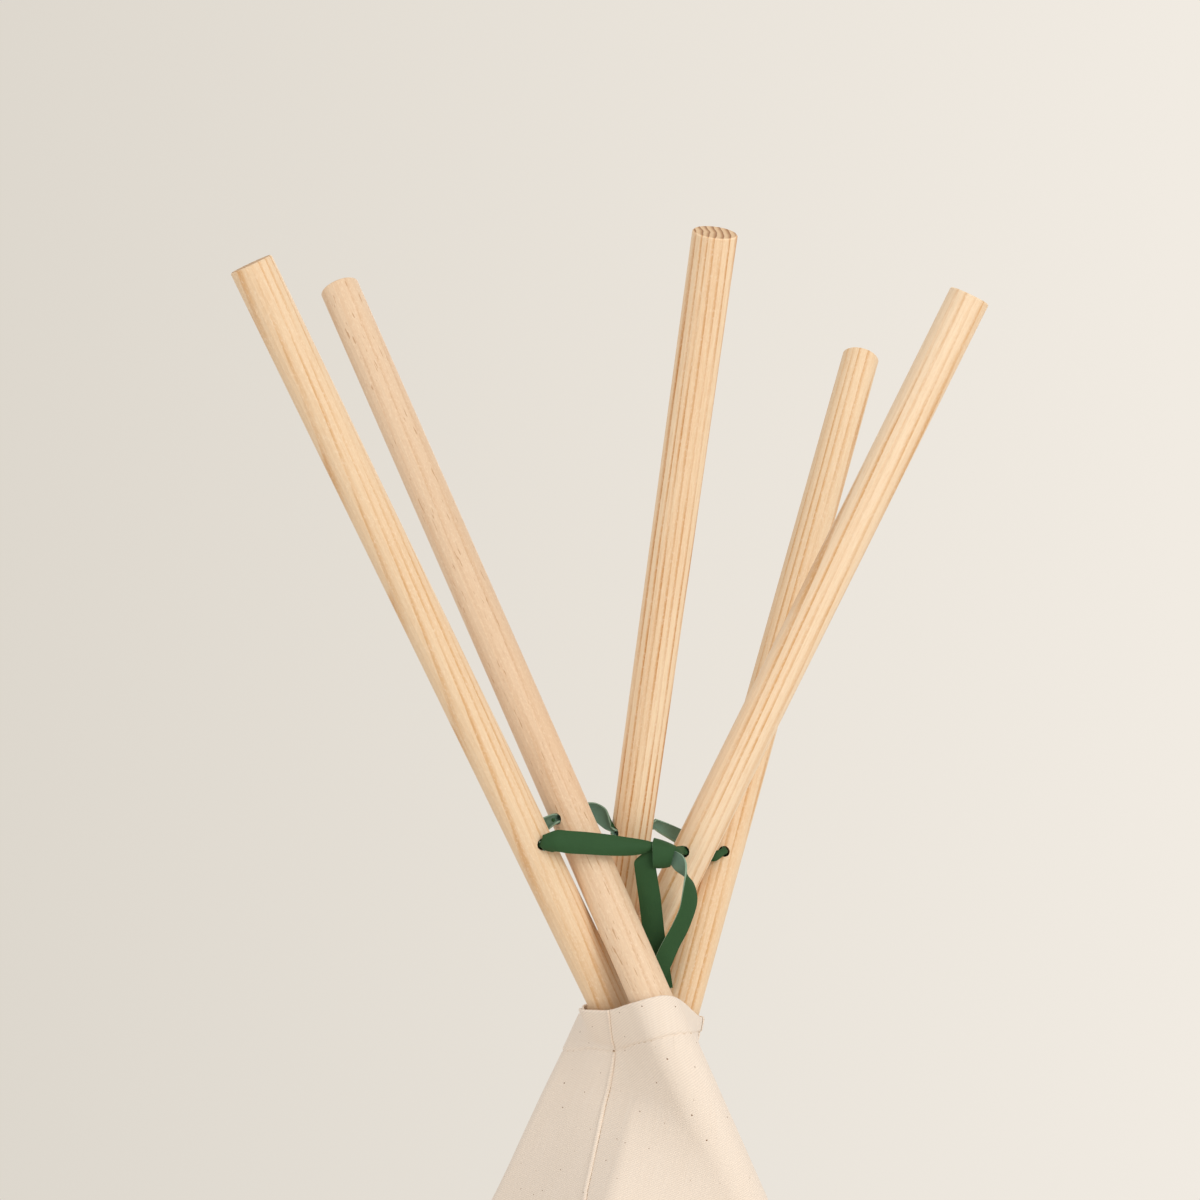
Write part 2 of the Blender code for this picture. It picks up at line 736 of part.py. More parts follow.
def make_collar(poles, collection):
    """Make the hemmed collar, a closed band of double cloth round the poles."""
    centre = loop_centre(poles, COLLAR_HEIGHT)
    flat = ring_points(poles, COLLAR_HEIGHT)
    rows = []
    for drop_share in (1.0, 0.5, 0.0):
        row = []
        for column in range(COLLAR_COLUMNS):
            plan = flat[column]
            for _ in range(RISE_PASSES):
                stitched = collar_rise(plan, centre, STITCH_RISE_SHARES) - COLLAR_BAND
                edge = collar_rise(plan, centre, EDGE_RISE_SHARES)
                height = COLLAR_HEIGHT + edge + (stitched - edge) * drop_share
                plan = ring_points(poles, height)[column]
            row.append(Vector((*plan, height)))
        rows.append(row)
    band = bmesh.new()
    verts = [[band.verts.new(point) for point in row] for row in rows]
    for low, high in zip(verts, verts[1:]):
        for at in range(COLLAR_COLUMNS):
            after = (at + 1) % COLLAR_COLUMNS
            band.faces.new((low[at], low[after], high[after], high[at]))
    mesh = bpy.data.meshes.new("canvas_collar")
    band.to_mesh(mesh)
    band.free()
    collar = add_object("canvas_collar", mesh, canvas(), collection, None, EDGE_ANGLE)
    give_thickness(collar, COLLAR_THICKNESS)


def ring_points(poles, height):
    """Plan points right round the cover at a height, starting at the first seam."""
    radius = cover_radius(height) + (COLLAR_THICKNESS - CANVAS_THICKNESS) / 2
    loop = cover_loop(poles, height, radius)
    centre = loop_centre(poles, COLLAR_HEIGHT)
    start = seam_on_loop(poles, loop, RING[0], height)
    places = spread(loop_chain(loop, start, start), COLLAR_COLUMNS + 1)[:COLLAR_COLUMNS]
    return [slackened(sagged(place, 0.0), centre, height) for place in places]


# Sleeves

def sleeve_row(poles, number, height):
    """Plan points of a sleeve's strip: from the cover, round behind the pole, and back."""
    at = RING.index(number)
    own = pole_at(poles[number], height)
    loop = cover_loop(poles, height, COVER_RADIUS)
    stack = (CANVAS_THICKNESS + SLEEVE_THICKNESS) / 2 + SLEEVE_STITCH_GAP
    ends = []
    for step in (-1, 1):
        neighbour = RING[(at + step) % len(RING)]
        panel = PANEL_NAMES[at if step == 1 else at - 1]
        along = (pole_at(poles[neighbour], height) - own).normalized()
        edge, share = nearest_on_loop(loop, own + along * (SEAM_SET - SLEEVE_EASE))
        place = (loop[edge], loop[(edge + 1) % len(loop)], share)
        folds = 0.0 if panel == TAUT_PANEL else fold_strength(height)
        ends.append(sagged(place, folds, stack))
    outline = convex_loop(pole_section(poles[number], height, SLEEVE_RADIUS) + ends)
    before, after = (nearest_on_loop(outline, end) for end in ends)
    places = spread(loop_chain(outline, after, before), SLEEVE_COLUMNS)
    return [a + (b - a) * share for a, b, share in places]


def make_sleeves(poles, pivots, collection):
    """Make the strip sewn behind each pole."""
    for number in POLES:
        rows = []
        for step in range(SLEEVE_ROWS):
            height = SLEEVE_BOTTOM + (SLEEVE_TOP - SLEEVE_BOTTOM) * step / (SLEEVE_ROWS - 1)
            row = [Vector((*point, height)) for point in sleeve_row(poles, number, height)]
            rows.append(row)
        name = f"pole_sleeve_{number}"
        sleeve = add_object(name, grid_mesh(name, rows), sleeve_cloth(), collection, None, EDGE_ANGLE)
        give_thickness(sleeve, SLEEVE_THICKNESS)
        keep_place(sleeve, pivots[number])


# Doorway and flaps

def front_surface(poles, across, height):
    """Point of the front panel's outer face at a place across the front and a height."""
    left = pole_at(poles[4], height)
    right = pole_at(poles[2], height)
    edge = right - left
    outward = Vector((edge.y, -edge.x)).normalized()
    share = (across - left.x) / edge.x
    sag = SAG_SHARE * edge.length * 4 * share * (1 - share)
    reach = COVER_RADIUS + CANVAS_THICKNESS / 2 - sag
    plan = left + edge * share + outward * reach
    return Vector((*plan, height))


def door_middle(poles, height):
    """Middle of the front, between its two poles, at a height."""
    return (pole_at(poles[4], height).x + pole_at(poles[2], height).x) / 2


def door_corners(poles, side):
    """Apex, bottom middle and bottom side corner of one half of the doorway."""
    top = door_middle(poles, DOOR_HEIGHT)
    bottom = door_middle(poles, HEM_HEIGHT)
    apex = front_surface(poles, top, DOOR_HEIGHT)
    middle = front_surface(poles, bottom, HEM_HEIGHT)
    corner = front_surface(poles, bottom + side * DOOR_HALF_WIDTH, HEM_HEIGHT)
    return apex, middle, corner


def doorway_cutter(poles, cutters):
    """Prism that cuts the doorway: a pointed outline seen from the front."""
    apex, middle, left = door_corners(poles, -1.0)
    right = door_corners(poles, 1.0)[2]
    below = (HEM_HEIGHT + CUT_OVERRUN) / (apex.z - middle.z)
    outline = bmesh.new()
    front = left.y - FOOT_CIRCLE_RADIUS
    points = [apex, left + (left - apex) * below, right + (right - apex) * below]
    verts = [outline.verts.new((point.x, front, point.z)) for point in points]
    face = outline.faces.new(verts)
    grown = bmesh.ops.extrude_face_region(outline, geom=[face])
    moved = [item for item in grown["geom"] if isinstance(item, bmesh.types.BMVert)]
    bmesh.ops.translate(outline, verts=moved, vec=(0.0, apex.y - front + CUT_OVERRUN, 0.0))
    bmesh.ops.recalc_face_normals(outline, faces=outline.faces)
    mesh = bpy.data.meshes.new("doorway_cutter")
    outline.to_mesh(mesh)
    outline.free()
    cutter = bpy.data.objects.new("doorway_cutter", mesh)
    cutters.objects.link(cutter)
    cutter.hide_render = True
    cutter.display_type = "WIRE"
    return cutter


def flap_hinge(poles, side):
    """Hinge line of a flap, from the apex to the bottom corner, set off the cloth."""
    apex, middle, corner = door_corners(poles, side)
    outward = (corner - apex).cross(middle - apex).normalized()
    if outward.y > 0.0:
        outward = -outward
    bulge = 0.0
    for step in range(1, FLAP_ROWS):
        line = apex.lerp(corner, step / FLAP_ROWS)
        cloth = front_surface(poles, line.x, line.z)
        bulge = max(bulge, (cloth - line).dot(outward))
    lift = outward * (FLAP_STANDOFF + bulge)
    return apex + lift, middle + lift, corner + lift, outward


def make_flaps(poles, collection):
    """Make the door flaps, folded back against the outside of the front panel."""
    for name, side in (("left", -1.0), ("right", 1.0)):
        apex, middle, corner, outward = flap_hinge(poles, side)
        down = (corner - apex).normalized()
        turn = math.radians(FLAP_OPEN_ANGLE)
        rows = []
        for step in range(FLAP_ROWS):
            share = 1.0 - (1.0 - FLAP_TIP_SHARE) * step / (FLAP_ROWS - 1)
            start = apex.lerp(corner, share)
            full = (middle - corner) * share
            width = full.normalized() * (full.length - FLAP_EDGE_GAP)
            row = []
            for column in range(FLAP_COLUMNS):
                across = column / (FLAP_COLUMNS - 1)
                flat = width * across
                along = down * flat.dot(down)
                away = flat - along
                swung = away * math.cos(turn) + outward * (away.length * math.sin(turn))
                cup = outward * (FLAP_CUP * share * math.sin(math.pi * across))
                row.append(start + along + swung + cup)
            rows.append(row)
        flap = add_object(f"door_flap_{name}", grid_mesh(f"door_flap_{name}", rows),
                          canvas(), collection, None, EDGE_ANGLE)
        give_thickness(flap, CANVAS_THICKNESS)
        place = Matrix.Translation(apex.lerp(corner, 0.5))
        turned = down.to_track_quat("Z", "Y").to_matrix().to_4x4()
        keep_place(flap, add_pivot(f"door_flap_{name}_pivot", place @ turned, collection))


# Strap, knot and tails

def smooth_route(stations, steps):
    """Read stations (point, width, thickness, width direction) along a smooth curve."""
    read = []
    last = len(stations) - 1
    for at in range(last):
        before = stations[max(0, at - 1)]
        one = stations[at]
        two = stations[at + 1]
        after = stations[min(last, at + 2)]
        for step in range(steps):
            share = step / steps
            read.append(tuple(cubic(a, b, c, d, share) for a, b, c, d in zip(before, one, two, after)))
    read.append(stations[last])
    return read


def cubic(before, one, two, after, share):
    """Catmull-Rom reading between two values, for numbers and vectors alike."""
    square = share * share
    cube = square * share
    start = before * (-cube + 2 * square - share)
    middle = one * (3 * cube - 5 * square + 2) + two * (-3 * cube + 4 * square + share)
    return (start + middle + after * (cube - square)) * 0.5


def ribbon_mesh(name, stations, steps):
    """Loft a flat strap along stations, with square ends."""
    read = smooth_route(stations, steps)
    ribbon = bmesh.new()
    rings = []
    for at, (point, width, thickness, across) in enumerate(read):
        ahead = read[min(at + 1, len(read) - 1)][0]
        behind = read[max(at - 1, 0)][0]
        forward = (ahead - behind).normalized()
        wide = (across - forward * across.dot(forward)).normalized()
        deep = forward.cross(wide)
        corners = []
        for wide_sign, deep_sign in ((1, 1), (1, -1), (-1, -1), (-1, 1)):
            offset = wide * (wide_sign * width / 2) + deep * (deep_sign * thickness / 2)
            corners.append(ribbon.verts.new(point + offset))
        rings.append(corners)
    for low, high in zip(rings, rings[1:]):
        for at in range(4):
            ribbon.faces.new((low[at], low[(at + 1) % 4], high[(at + 1) % 4], high[at]))
    ribbon.faces.new(rings[0][::-1])
    ribbon.faces.new(rings[-1])
    bmesh.ops.recalc_face_normals(ribbon, faces=ribbon.faces)
    mesh = bpy.data.meshes.new(name)
    ribbon.to_mesh(mesh)
    ribbon.free()
    return mesh


def hole_stations(poles, number, leaving_front):
    """Stations of the bunched strap through one pole, with a short reach outside it."""
    pole = poles[number]
    aim = hole_direction(pole, HOLE_BEARINGS[number])
    reach = aim * (POLE_RADIUS + MOUTH_REACH)
    inside = aim * POLE_RADIUS
    ordered = [-reach, -inside, inside * 0.0, inside, reach]
    if not leaving_front:
        ordered.reverse()
    width = HOLE_DIAMETER * BUNCH_WIDTH_SHARE
    thickness = HOLE_DIAMETER * BUNCH_THICKNESS_SHARE
    return [(pole.hole + offset, width, thickness, -pole.down) for offset in ordered]


def strap_point(poles, shares):
    """Place given in pole pitches from the middle of the five holes."""
    middle = sum((pole.hole for pole in poles.values()), Vector()) / len(poles)
    return middle + Vector(shares) * (POLE_DIAMETER + POLE_CROSSING_GAP)


def tail_point(poles, shares):
    """Place in pole pitches from the middle between the two front poles at its own height."""
    pitch = POLE_DIAMETER + POLE_CROSSING_GAP
    height = strap_point(poles, (0.0, 0.0, shares[2])).z
    between = pole_at(poles[TAIL_POLES[0]], height).lerp(pole_at(poles[TAIL_POLES[1]], height), 0.5)
    return Vector((*(between + Vector(shares[:2]) * pitch), height))


def strap_stations(poles):
    """The strap's way round: knot, poles 5, 4, 3, 2 and 1, and back across the front."""
    up = Vector((0.0, 0.0, 1.0))

    def stretch(name):
        points = STRAP_POINT_SHARES[name]
        return [(strap_point(poles, shares), width, STRAP_THICKNESS, up) for shares, width in points]

    stations = stretch("knot_to_5") + hole_stations(poles, 5, False)
    stations += stretch("5_to_4") + hole_stations(poles, 4, False)
    stations += stretch("4_to_3") + hole_stations(poles, 3, True)
    stations += stretch("3_to_2") + hole_stations(poles, 2, True)
    stations += stretch("2_to_1") + hole_stations(poles, 1, True)
    return stations + stretch("1_to_knot")


def make_strap(poles, collection):
    """Make the tied strap: its loop through the poles, the knot and two hanging ends."""
    loop = ribbon_mesh("tie_strap", strap_stations(poles), STRAP_STEPS)
    add_object("tie_strap", loop, strap_leather(), collection, None, EDGE_ANGLE)
    knot = knot_mesh(strap_point(poles, KNOT_PLACE_SHARES))
    add_object("tie_knot", knot, strap_leather(), collection, None, EDGE_ANGLE)
    level = Vector((1.0, 0.0, 0.0))
    for name, route in TAIL_POINT_SHARES.items():
        points = [tail_point(poles, shares) for shares in route]
        stations = [(point, STRAP_WIDTH, STRAP_THICKNESS, level) for point in points]
        mesh = ribbon_mesh(name, stations, TAIL_STEPS)
        add_object(name, mesh, strap_leather(), collection, None, EDGE_ANGLE)


def knot_mesh(centre):
    """The knot: a rounded wrap, wider at its top, flattened front to back."""
    knot = bmesh.new()
    bmesh.ops.create_uvsphere(knot, u_segments=KNOT_SIDES, v_segments=KNOT_RINGS, radius=1.0)
    half_sizes = Vector((KNOT_WIDTH, KNOT_DEPTH, KNOT_HEIGHT)) / 2
    for vert in knot.verts:
        squared = [math.copysign(abs(part) ** KNOT_ROUNDING_POWER, part) for part in vert.co]
        squared[0] *= 1.0 + KNOT_TAPER_SHARE * squared[2]
        vert.co = centre + half_sizes * Vector(squared)
    mesh = bpy.data.meshes.new("tie_knot")
    knot.to_mesh(mesh)
    knot.free()
    return mesh


def main():
    for old in list(bpy.data.objects):
        bpy.data.objects.remove(old, do_unlink=True)
    scene = bpy.context.scene
    collection = bpy.data.collections.new("kids_teepee")
    cutters = bpy.data.collections.new("kids_teepee_cutters")
    scene.collection.children.link(collection)
    scene.collection.children.link(cutters)
    poles = lay_out_poles()
    pivots = {n: make_pole(n, poles[n], collection, cutters) for n in POLES}
    bpy.context.view_layer.update()
    make_panels(poles, collection, cutters)
    make_collar(poles, collection)
    make_sleeves(poles, pivots, collection)
    make_flaps(poles, collection)
    make_strap(poles, collection)
    bpy.context.view_layer.update()
    return poles


if __name__ == "__main__":
    main()
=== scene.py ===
import json
import math

import bmesh
import bpy
from mathutils import Matrix, Vector, noise
from mathutils.geometry import convex_hull_2d


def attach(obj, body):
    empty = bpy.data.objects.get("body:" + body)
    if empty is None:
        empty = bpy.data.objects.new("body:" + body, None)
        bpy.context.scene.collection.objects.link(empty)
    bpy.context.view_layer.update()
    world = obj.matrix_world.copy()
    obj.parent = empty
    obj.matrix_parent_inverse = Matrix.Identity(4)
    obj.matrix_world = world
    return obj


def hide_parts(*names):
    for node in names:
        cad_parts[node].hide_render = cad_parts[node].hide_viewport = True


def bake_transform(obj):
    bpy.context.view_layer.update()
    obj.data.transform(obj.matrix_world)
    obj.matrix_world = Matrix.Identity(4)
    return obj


bl_info = {
    "name": "Kids' teepee",
    "version": (1, 0, 0),
    "blender": (4, 5, 0),
    "location": "3D View > Sidebar > Teepee",
    "description": "Dresses the teepee's packed model in its canvas, strap, pine and steel",
    "category": "Add Mesh",
}

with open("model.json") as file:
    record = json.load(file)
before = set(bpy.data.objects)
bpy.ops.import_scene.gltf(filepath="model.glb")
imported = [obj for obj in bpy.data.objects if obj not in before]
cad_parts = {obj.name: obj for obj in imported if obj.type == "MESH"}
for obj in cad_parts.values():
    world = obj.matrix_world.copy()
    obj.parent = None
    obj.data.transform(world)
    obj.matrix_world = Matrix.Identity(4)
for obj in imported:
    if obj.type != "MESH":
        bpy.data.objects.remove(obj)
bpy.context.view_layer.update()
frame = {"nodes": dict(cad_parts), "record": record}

# The stand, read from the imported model: each pole's strap hole and the way down it
POLE_RADIUS = 0.014
RING = (4, 2, 1, 3, 5)

# The cover's own sizes, as its solids have them (metres)
CANVAS = 0.0011
COVER_RADIUS = 0.01740
SNUG_RADIUS = 0.01625
SLEEVE_TOP = 0.900
HEM_HEIGHT = 0.008
COLLAR_HEIGHT = 1.103
COLLAR_BAND = 0.026
COLLAR_RISE = 0.028
COLLAR_SLACK = 0.004
COLLAR_SLACK_BEARING = 185.0
SEAM_TURN_HEIGHT = 0.9806
SEAM_SET = 0.029
FAR = 0.6
COLLAR_SEAM_BEARINGS = {4: -121.0, 2: -24.0, 1: 34.0, 3: 106.0, 5: 146.0}
# How far the front seam lies along the cloth from that place, at each height
FRONT_SEAM_SHIFTS = {0.0: 0.0, 0.96: 0.0, 0.98: 0.0013, 1.0: -0.0050, 1.06: -0.0046, 1.077: -0.0014,
                     1.09: 0.0, 1.103: 0.0020, 1.115: 0.0042, 1.2: 0.0042}
SEAM_SIDES = {4: -1, 2: 1, 1: 1, 3: 1, 5: -1}
EDGE_RISES = {-170.0: 0.40, -121.0: 0.49, -110.0: 0.50, -100.0: 0.65, -91.0: 0.79, -83.0: 0.93, -75.0: 1.0,
              -69.0: 0.95, -61.0: 0.74, -51.0: 0.46, -40.0: 0.27, -25.0: 0.14, 0.0: 0.08, 90.0: 0.05, 150.0: 0.08,
              177.0: 0.30}
STITCH_RISES = {-170.0: 0.36, -145.0: 0.36, -121.0: 0.385, -110.0: 0.44, -97.0: 0.575, -91.0: 0.73,
                -83.0: 0.884, -75.0: 1.035, -68.0: 1.10, -60.0: 0.97, -30.0: 0.80, 8.0: 0.55,
                60.0: 0.3, 130.0: 0.0}
SAG_SHARE = 0.014
FOLD_SHARE = 0.006
PANELS = {
    "front_panel": (4, 2),
    "right_front_panel": (2, 1),
    "right_back_panel": (1, 3),
    "left_back_panel": (3, 5),
    "left_front_panel": (5, 4),
}
DOOR_HEIGHT = 0.800
DOOR_HALF_WIDTH = 0.210


class TeepeeSizes(bpy.types.PropertyGroup):
    """Sizes of the dressing that a user may change."""

    strap_thickness: bpy.props.FloatProperty(
        name="Strap thickness", description="Thickness of the soft leather strap",
        default=0.0012, min=0.0006, unit="LENGTH")
    twill_pitch: bpy.props.FloatProperty(
        name="Twill pitch", description="Distance between two diagonal lines of the canvas weave",
        default=0.0015, min=0.0004, unit="LENGTH")
    stitch_length: bpy.props.FloatProperty(
        name="Stitch length", description="Length of one stitch with the gap that follows it",
        default=0.0034, min=0.001, unit="LENGTH")
    seam_height: bpy.props.FloatProperty(
        name="Seam height", description="How far a felled seam stands up from the canvas",
        default=0.0016, min=0.0, unit="LENGTH")
    crease_height: bpy.props.FloatProperty(
        name="Crease height", description="How far the canvas creases stand proud",
        default=0.0012, min=0.0, max=0.004, unit="LENGTH")
    floor_size: bpy.props.FloatProperty(
        name="Floor size", description="Width of the floor round the teepee",
        default=6.6, min=2.0, unit="LENGTH")


class TeepeeColours(bpy.types.PropertyGroup):
    """Colours of the finishes, as sRGB hex."""

    canvas: bpy.props.StringProperty(
        name="Canvas", description="Unbleached cotton canvas", default="EFDFCE")
    thread: bpy.props.StringProperty(
        name="Thread", description="Topstitching thread", default="B89B73")
    fleck: bpy.props.StringProperty(
        name="Seed flecks", description="Bits of cotton seed in the canvas", default="7F5B3B")
    strap: bpy.props.StringProperty(
        name="Strap", description="Dyed face of the strap", default="2D4F2D")
    lining: bpy.props.StringProperty(
        name="Strap lining", description="Back of the strap", default="688573")
    steel: bpy.props.StringProperty(
        name="Steel", description="Zinc-plated ferrules", default="C4C6C8")
    wall: bpy.props.StringProperty(
        name="Backdrop", description="Pale warm backdrop and floor", default="E9E2D9")


# Finishes

def linear_colour(text):
    """Turn an sRGB hex colour into linear light."""
    channels = []
    for at in (0, 2, 4):
        value = int(text[at:at + 2], 16) / 255
        channels.append(value / 12.92 if value <= 0.04045 else ((value + 0.055) / 1.055) ** 2.4)
    return (*channels, 1.0)


def add_node(tree, kind, inputs=(), stops=(), **settings):
    """Add a node, give it its settings, and set or link its inputs."""
    node = tree.nodes.new(kind)
    for name, value in settings.items():
        setattr(node, name, value)
    for at, (place, colour) in enumerate(stops):
        stop = node.color_ramp.elements[at] if at < 2 else node.color_ramp.elements.new(place)
        stop.position = place
        stop.color = linear_colour(colour)
    for name, value in dict(inputs).items():
        if isinstance(value, bpy.types.NodeSocket):
            tree.links.new(value, node.inputs[name])
        else:
            node.inputs[name].default_value = value
    return node


def new_finish(name, roughness, metallic=0.0):
    """Start a material; return it with its node tree and its shader."""
    finish = bpy.data.materials.new(name)
    finish.use_nodes = True
    shader = finish.node_tree.nodes["Principled BSDF"]
    shader.inputs["Roughness"].default_value = roughness
    shader.inputs["Metallic"].default_value = metallic
    return finish, finish.node_tree, shader


def canvas_finish(name, tint):
    """Unbleached cotton twill: matt and slightly napped, with fine diagonal lines, uneven yarns,
    brown seed flecks 10 to 20 mm apart, and beige topstitching along its seams and hems."""
    sizes = bpy.context.scene.teepee_sizes
    colours = bpy.context.scene.teepee_colours
    finish, tree, shader = new_finish(name, 0.92)
    shader.inputs["Sheen Weight"].default_value = 0.15
    shader.inputs["Sheen Roughness"].default_value = 0.6
    shader.inputs["Specular IOR Level"].default_value = 0.25
    weave = add_node(tree, "ShaderNodeUVMap", uv_map="weave").outputs["UV"]
    edges = add_node(tree, "ShaderNodeUVMap", uv_map="edges").outputs["UV"]
    # The real lines lie 1.2 mm apart; they are drawn wider so that they show
    turned = add_node(tree, "ShaderNodeMapping", {"Vector": weave, "Rotation": (0.0, 0.0, math.radians(62.0))})
    twill = add_node(tree, "ShaderNodeTexWave", {
        "Vector": turned.outputs["Vector"], "Scale": math.pi / 10 / sizes.twill_pitch,
        "Distortion": 0.22, "Detail": 2.0, "Detail Scale": 0.35}, wave_type="BANDS", bands_direction="X")
    yarn_way = add_node(tree, "ShaderNodeMapping", {"Vector": weave, "Scale": (1.0, 0.03, 1.0)})
    yarns = add_node(tree, "ShaderNodeTexNoise", {
        "Vector": yarn_way.outputs["Vector"], "Scale": 900.0, "Detail": 3.0})
    cloudy = add_node(tree, "ShaderNodeTexNoise", {"Vector": weave, "Scale": 22.0, "Detail": 4.0})
    flecks = add_node(tree, "ShaderNodeTexVoronoi", {"Vector": weave, "Scale": 52.0},
        voronoi_dimensions="2D", feature="F1")
    fleck_size = add_node(tree, "ShaderNodeMath", {0: flecks.outputs["Color"], 1: 0.033}, operation="MULTIPLY")
    fleck_mask = add_node(tree, "ShaderNodeMath", {
        0: flecks.outputs["Distance"], 1: fleck_size.outputs[0]}, operation="LESS_THAN")
    weave_parts = add_node(tree, "ShaderNodeSeparateXYZ", {"Vector": weave})
    edge_parts = add_node(tree, "ShaderNodeSeparateXYZ", {"Vector": edges})
    along = add_node(tree, "ShaderNodeMath", {
        0: weave_parts.outputs["X"], 1: weave_parts.outputs["Y"]}, operation="ADD")
    count = add_node(tree, "ShaderNodeMath", {
        0: along.outputs[0], 1: 1.0 / sizes.stitch_length}, operation="MULTIPLY")
    step = add_node(tree, "ShaderNodeMath", {0: count.outputs[0]}, operation="FRACT")
    dash = add_node(tree, "ShaderNodeMath", {0: step.outputs[0], 1: 0.74}, operation="LESS_THAN")
    beside_seam = add_node(tree, "ShaderNodeMath", {
        0: edge_parts.outputs["X"], 1: 0.0, 2: 0.00030}, operation="COMPARE")
    beside_hem = add_node(tree, "ShaderNodeMath", {
        0: edge_parts.outputs["Y"], 1: 0.0, 2: 0.00046}, operation="COMPARE")
    lines = add_node(tree, "ShaderNodeMath", {
        0: beside_seam.outputs[0], 1: beside_hem.outputs[0]}, operation="MAXIMUM")
    stitches = add_node(tree, "ShaderNodeMath", {
        0: lines.outputs[0], 1: dash.outputs[0]}, operation="MULTIPLY")
    base = linear_colour(tint)
    # The twill's valleys are painted at 0.89 of the canvas colour: painted shade in the hollows of the weave,
    # beside its bump
    ground = add_node(tree, "ShaderNodeMix", {
        0: twill.outputs["Fac"], 6: tuple(0.89 * part for part in base[:3]) + (1.0,), 7: base},
        data_type="RGBA")
    clouds = add_node(tree, "ShaderNodeMapRange", {
        "Value": cloudy.outputs["Fac"], "From Min": 0.3, "From Max": 0.7, "To Min": 0.0, "To Max": 0.07})
    shaded = add_node(tree, "ShaderNodeMix", {
        0: clouds.outputs["Result"], 6: ground.outputs[2], 7: linear_colour("D2BFA4")}, data_type="RGBA")
    slubs = add_node(tree, "ShaderNodeMapRange", {
        "Value": yarns.outputs["Fac"], "From Min": 0.35, "From Max": 0.75, "To Min": 0.0, "To Max": 0.16})
    yarned = add_node(tree, "ShaderNodeMix", {
        0: slubs.outputs["Result"], 6: shaded.outputs[2], 7: linear_colour("FAF1E4")}, data_type="RGBA")
    flecked = add_node(tree, "ShaderNodeMix", {
        0: fleck_mask.outputs[0], 6: yarned.outputs[2], 7: linear_colour(colours.fleck)}, data_type="RGBA")
    sewn = add_node(tree, "ShaderNodeMix", {
        0: stitches.outputs[0], 6: flecked.outputs[2], 7: linear_colour(colours.thread)}, data_type="RGBA")
    height = add_node(tree, "ShaderNodeMath", {
        0: yarns.outputs["Fac"], 1: 0.28, 2: twill.outputs["Fac"]}, operation="MULTIPLY_ADD")
    raised = add_node(tree, "ShaderNodeMath", {
        0: stitches.outputs[0], 1: 1.4, 2: height.outputs[0]}, operation="MULTIPLY_ADD")
    pulled = add_node(tree, "ShaderNodeMath", {
        0: lines.outputs[0], 1: -1.6, 2: raised.outputs[0]}, operation="MULTIPLY_ADD")
    bump = add_node(tree, "ShaderNodeBump", {
        "Height": pulled.outputs[0], "Strength": 0.30, "Distance": 0.0002})
    rough = add_node(tree, "ShaderNodeMapRange", {
        "Value": yarns.outputs["Fac"], "To Min": 0.84, "To Max": 0.97})
    tree.links.new(sewn.outputs[2], shader.inputs["Base Color"])
    tree.links.new(rough.outputs["Result"], shader.inputs["Roughness"])
    tree.links.new(bump.outputs["Normal"], shader.inputs["Normal"])
    return finish


def leather_finish(name, colour, depth, roughness):
    """Soft coated leather: matt, with a fine dotted grain pressed into it and a little uneven dye."""
    finish, tree, shader = new_finish(name, roughness)
    shader.inputs["Specular IOR Level"].default_value = 0.22
    place = add_node(tree, "ShaderNodeTexCoord").outputs["Object"]
    dots = add_node(tree, "ShaderNodeTexVoronoi", {"Vector": place, "Scale": 1300.0}, feature="F1")
    dye = add_node(tree, "ShaderNodeTexNoise", {"Vector": place, "Scale": 130.0, "Detail": 5.0, "Roughness": 0.65})
    nap = add_node(tree, "ShaderNodeTexNoise", {"Vector": place, "Scale": 1700.0, "Detail": 2.0})
    base = linear_colour(colour)
    dark = tuple(part * (1.0 - depth) for part in base[:3]) + (1.0,)
    pale = tuple(min(1.0, part * (1.0 + depth)) for part in base[:3]) + (1.0,)
    dyed = add_node(tree, "ShaderNodeMix", {0: dye.outputs["Fac"], 6: dark, 7: pale}, data_type="RGBA")
    grain = add_node(tree, "ShaderNodeMapRange", {
        "Value": nap.outputs["Fac"], "From Min": 0.5, "From Max": 0.8, "To Min": 0.0, "To Max": 0.35})
    dusted = add_node(tree, "ShaderNodeMix", {
        0: grain.outputs["Result"], 6: dyed.outputs[2], 7: pale}, data_type="RGBA")
    bump = add_node(tree, "ShaderNodeBump", {
        "Height": dots.outputs["Distance"], "Strength": 0.35, "Distance": 0.0002})
    tree.links.new(dusted.outputs[2], shader.inputs["Base Color"])
    tree.links.new(bump.outputs["Normal"], shader.inputs["Normal"])
    return finish


# Pine: ground, growth line, its darkest edge, ring spacing, pith's place, lean, line strength, pores
PINES = {
    1: ("E8CCA9", "D8AA76", "CC975F", 0.0042, (0.040, -0.002), 34.0, 0.80, 0.04),
    2: ("E5C8A8", "D6AF88", "C99A70", 0.0080, (0.050, 0.026), 30.0, 0.45, 0.55),
    3: ("F2D8B5", "D29A60", "B8773E", 0.0043, (0.012, 0.062), 9.0, 1.00, 0.05),
    4: ("EBCFAB", "D5A268", "C48A50", 0.0054, (-0.016, 0.050), 15.0, 0.80, 0.00),
    5: ("F1D8B8", "D8A76E", "C88F54", 0.0056, (0.042, 0.030), 20.0, 0.85, 0.00),
}


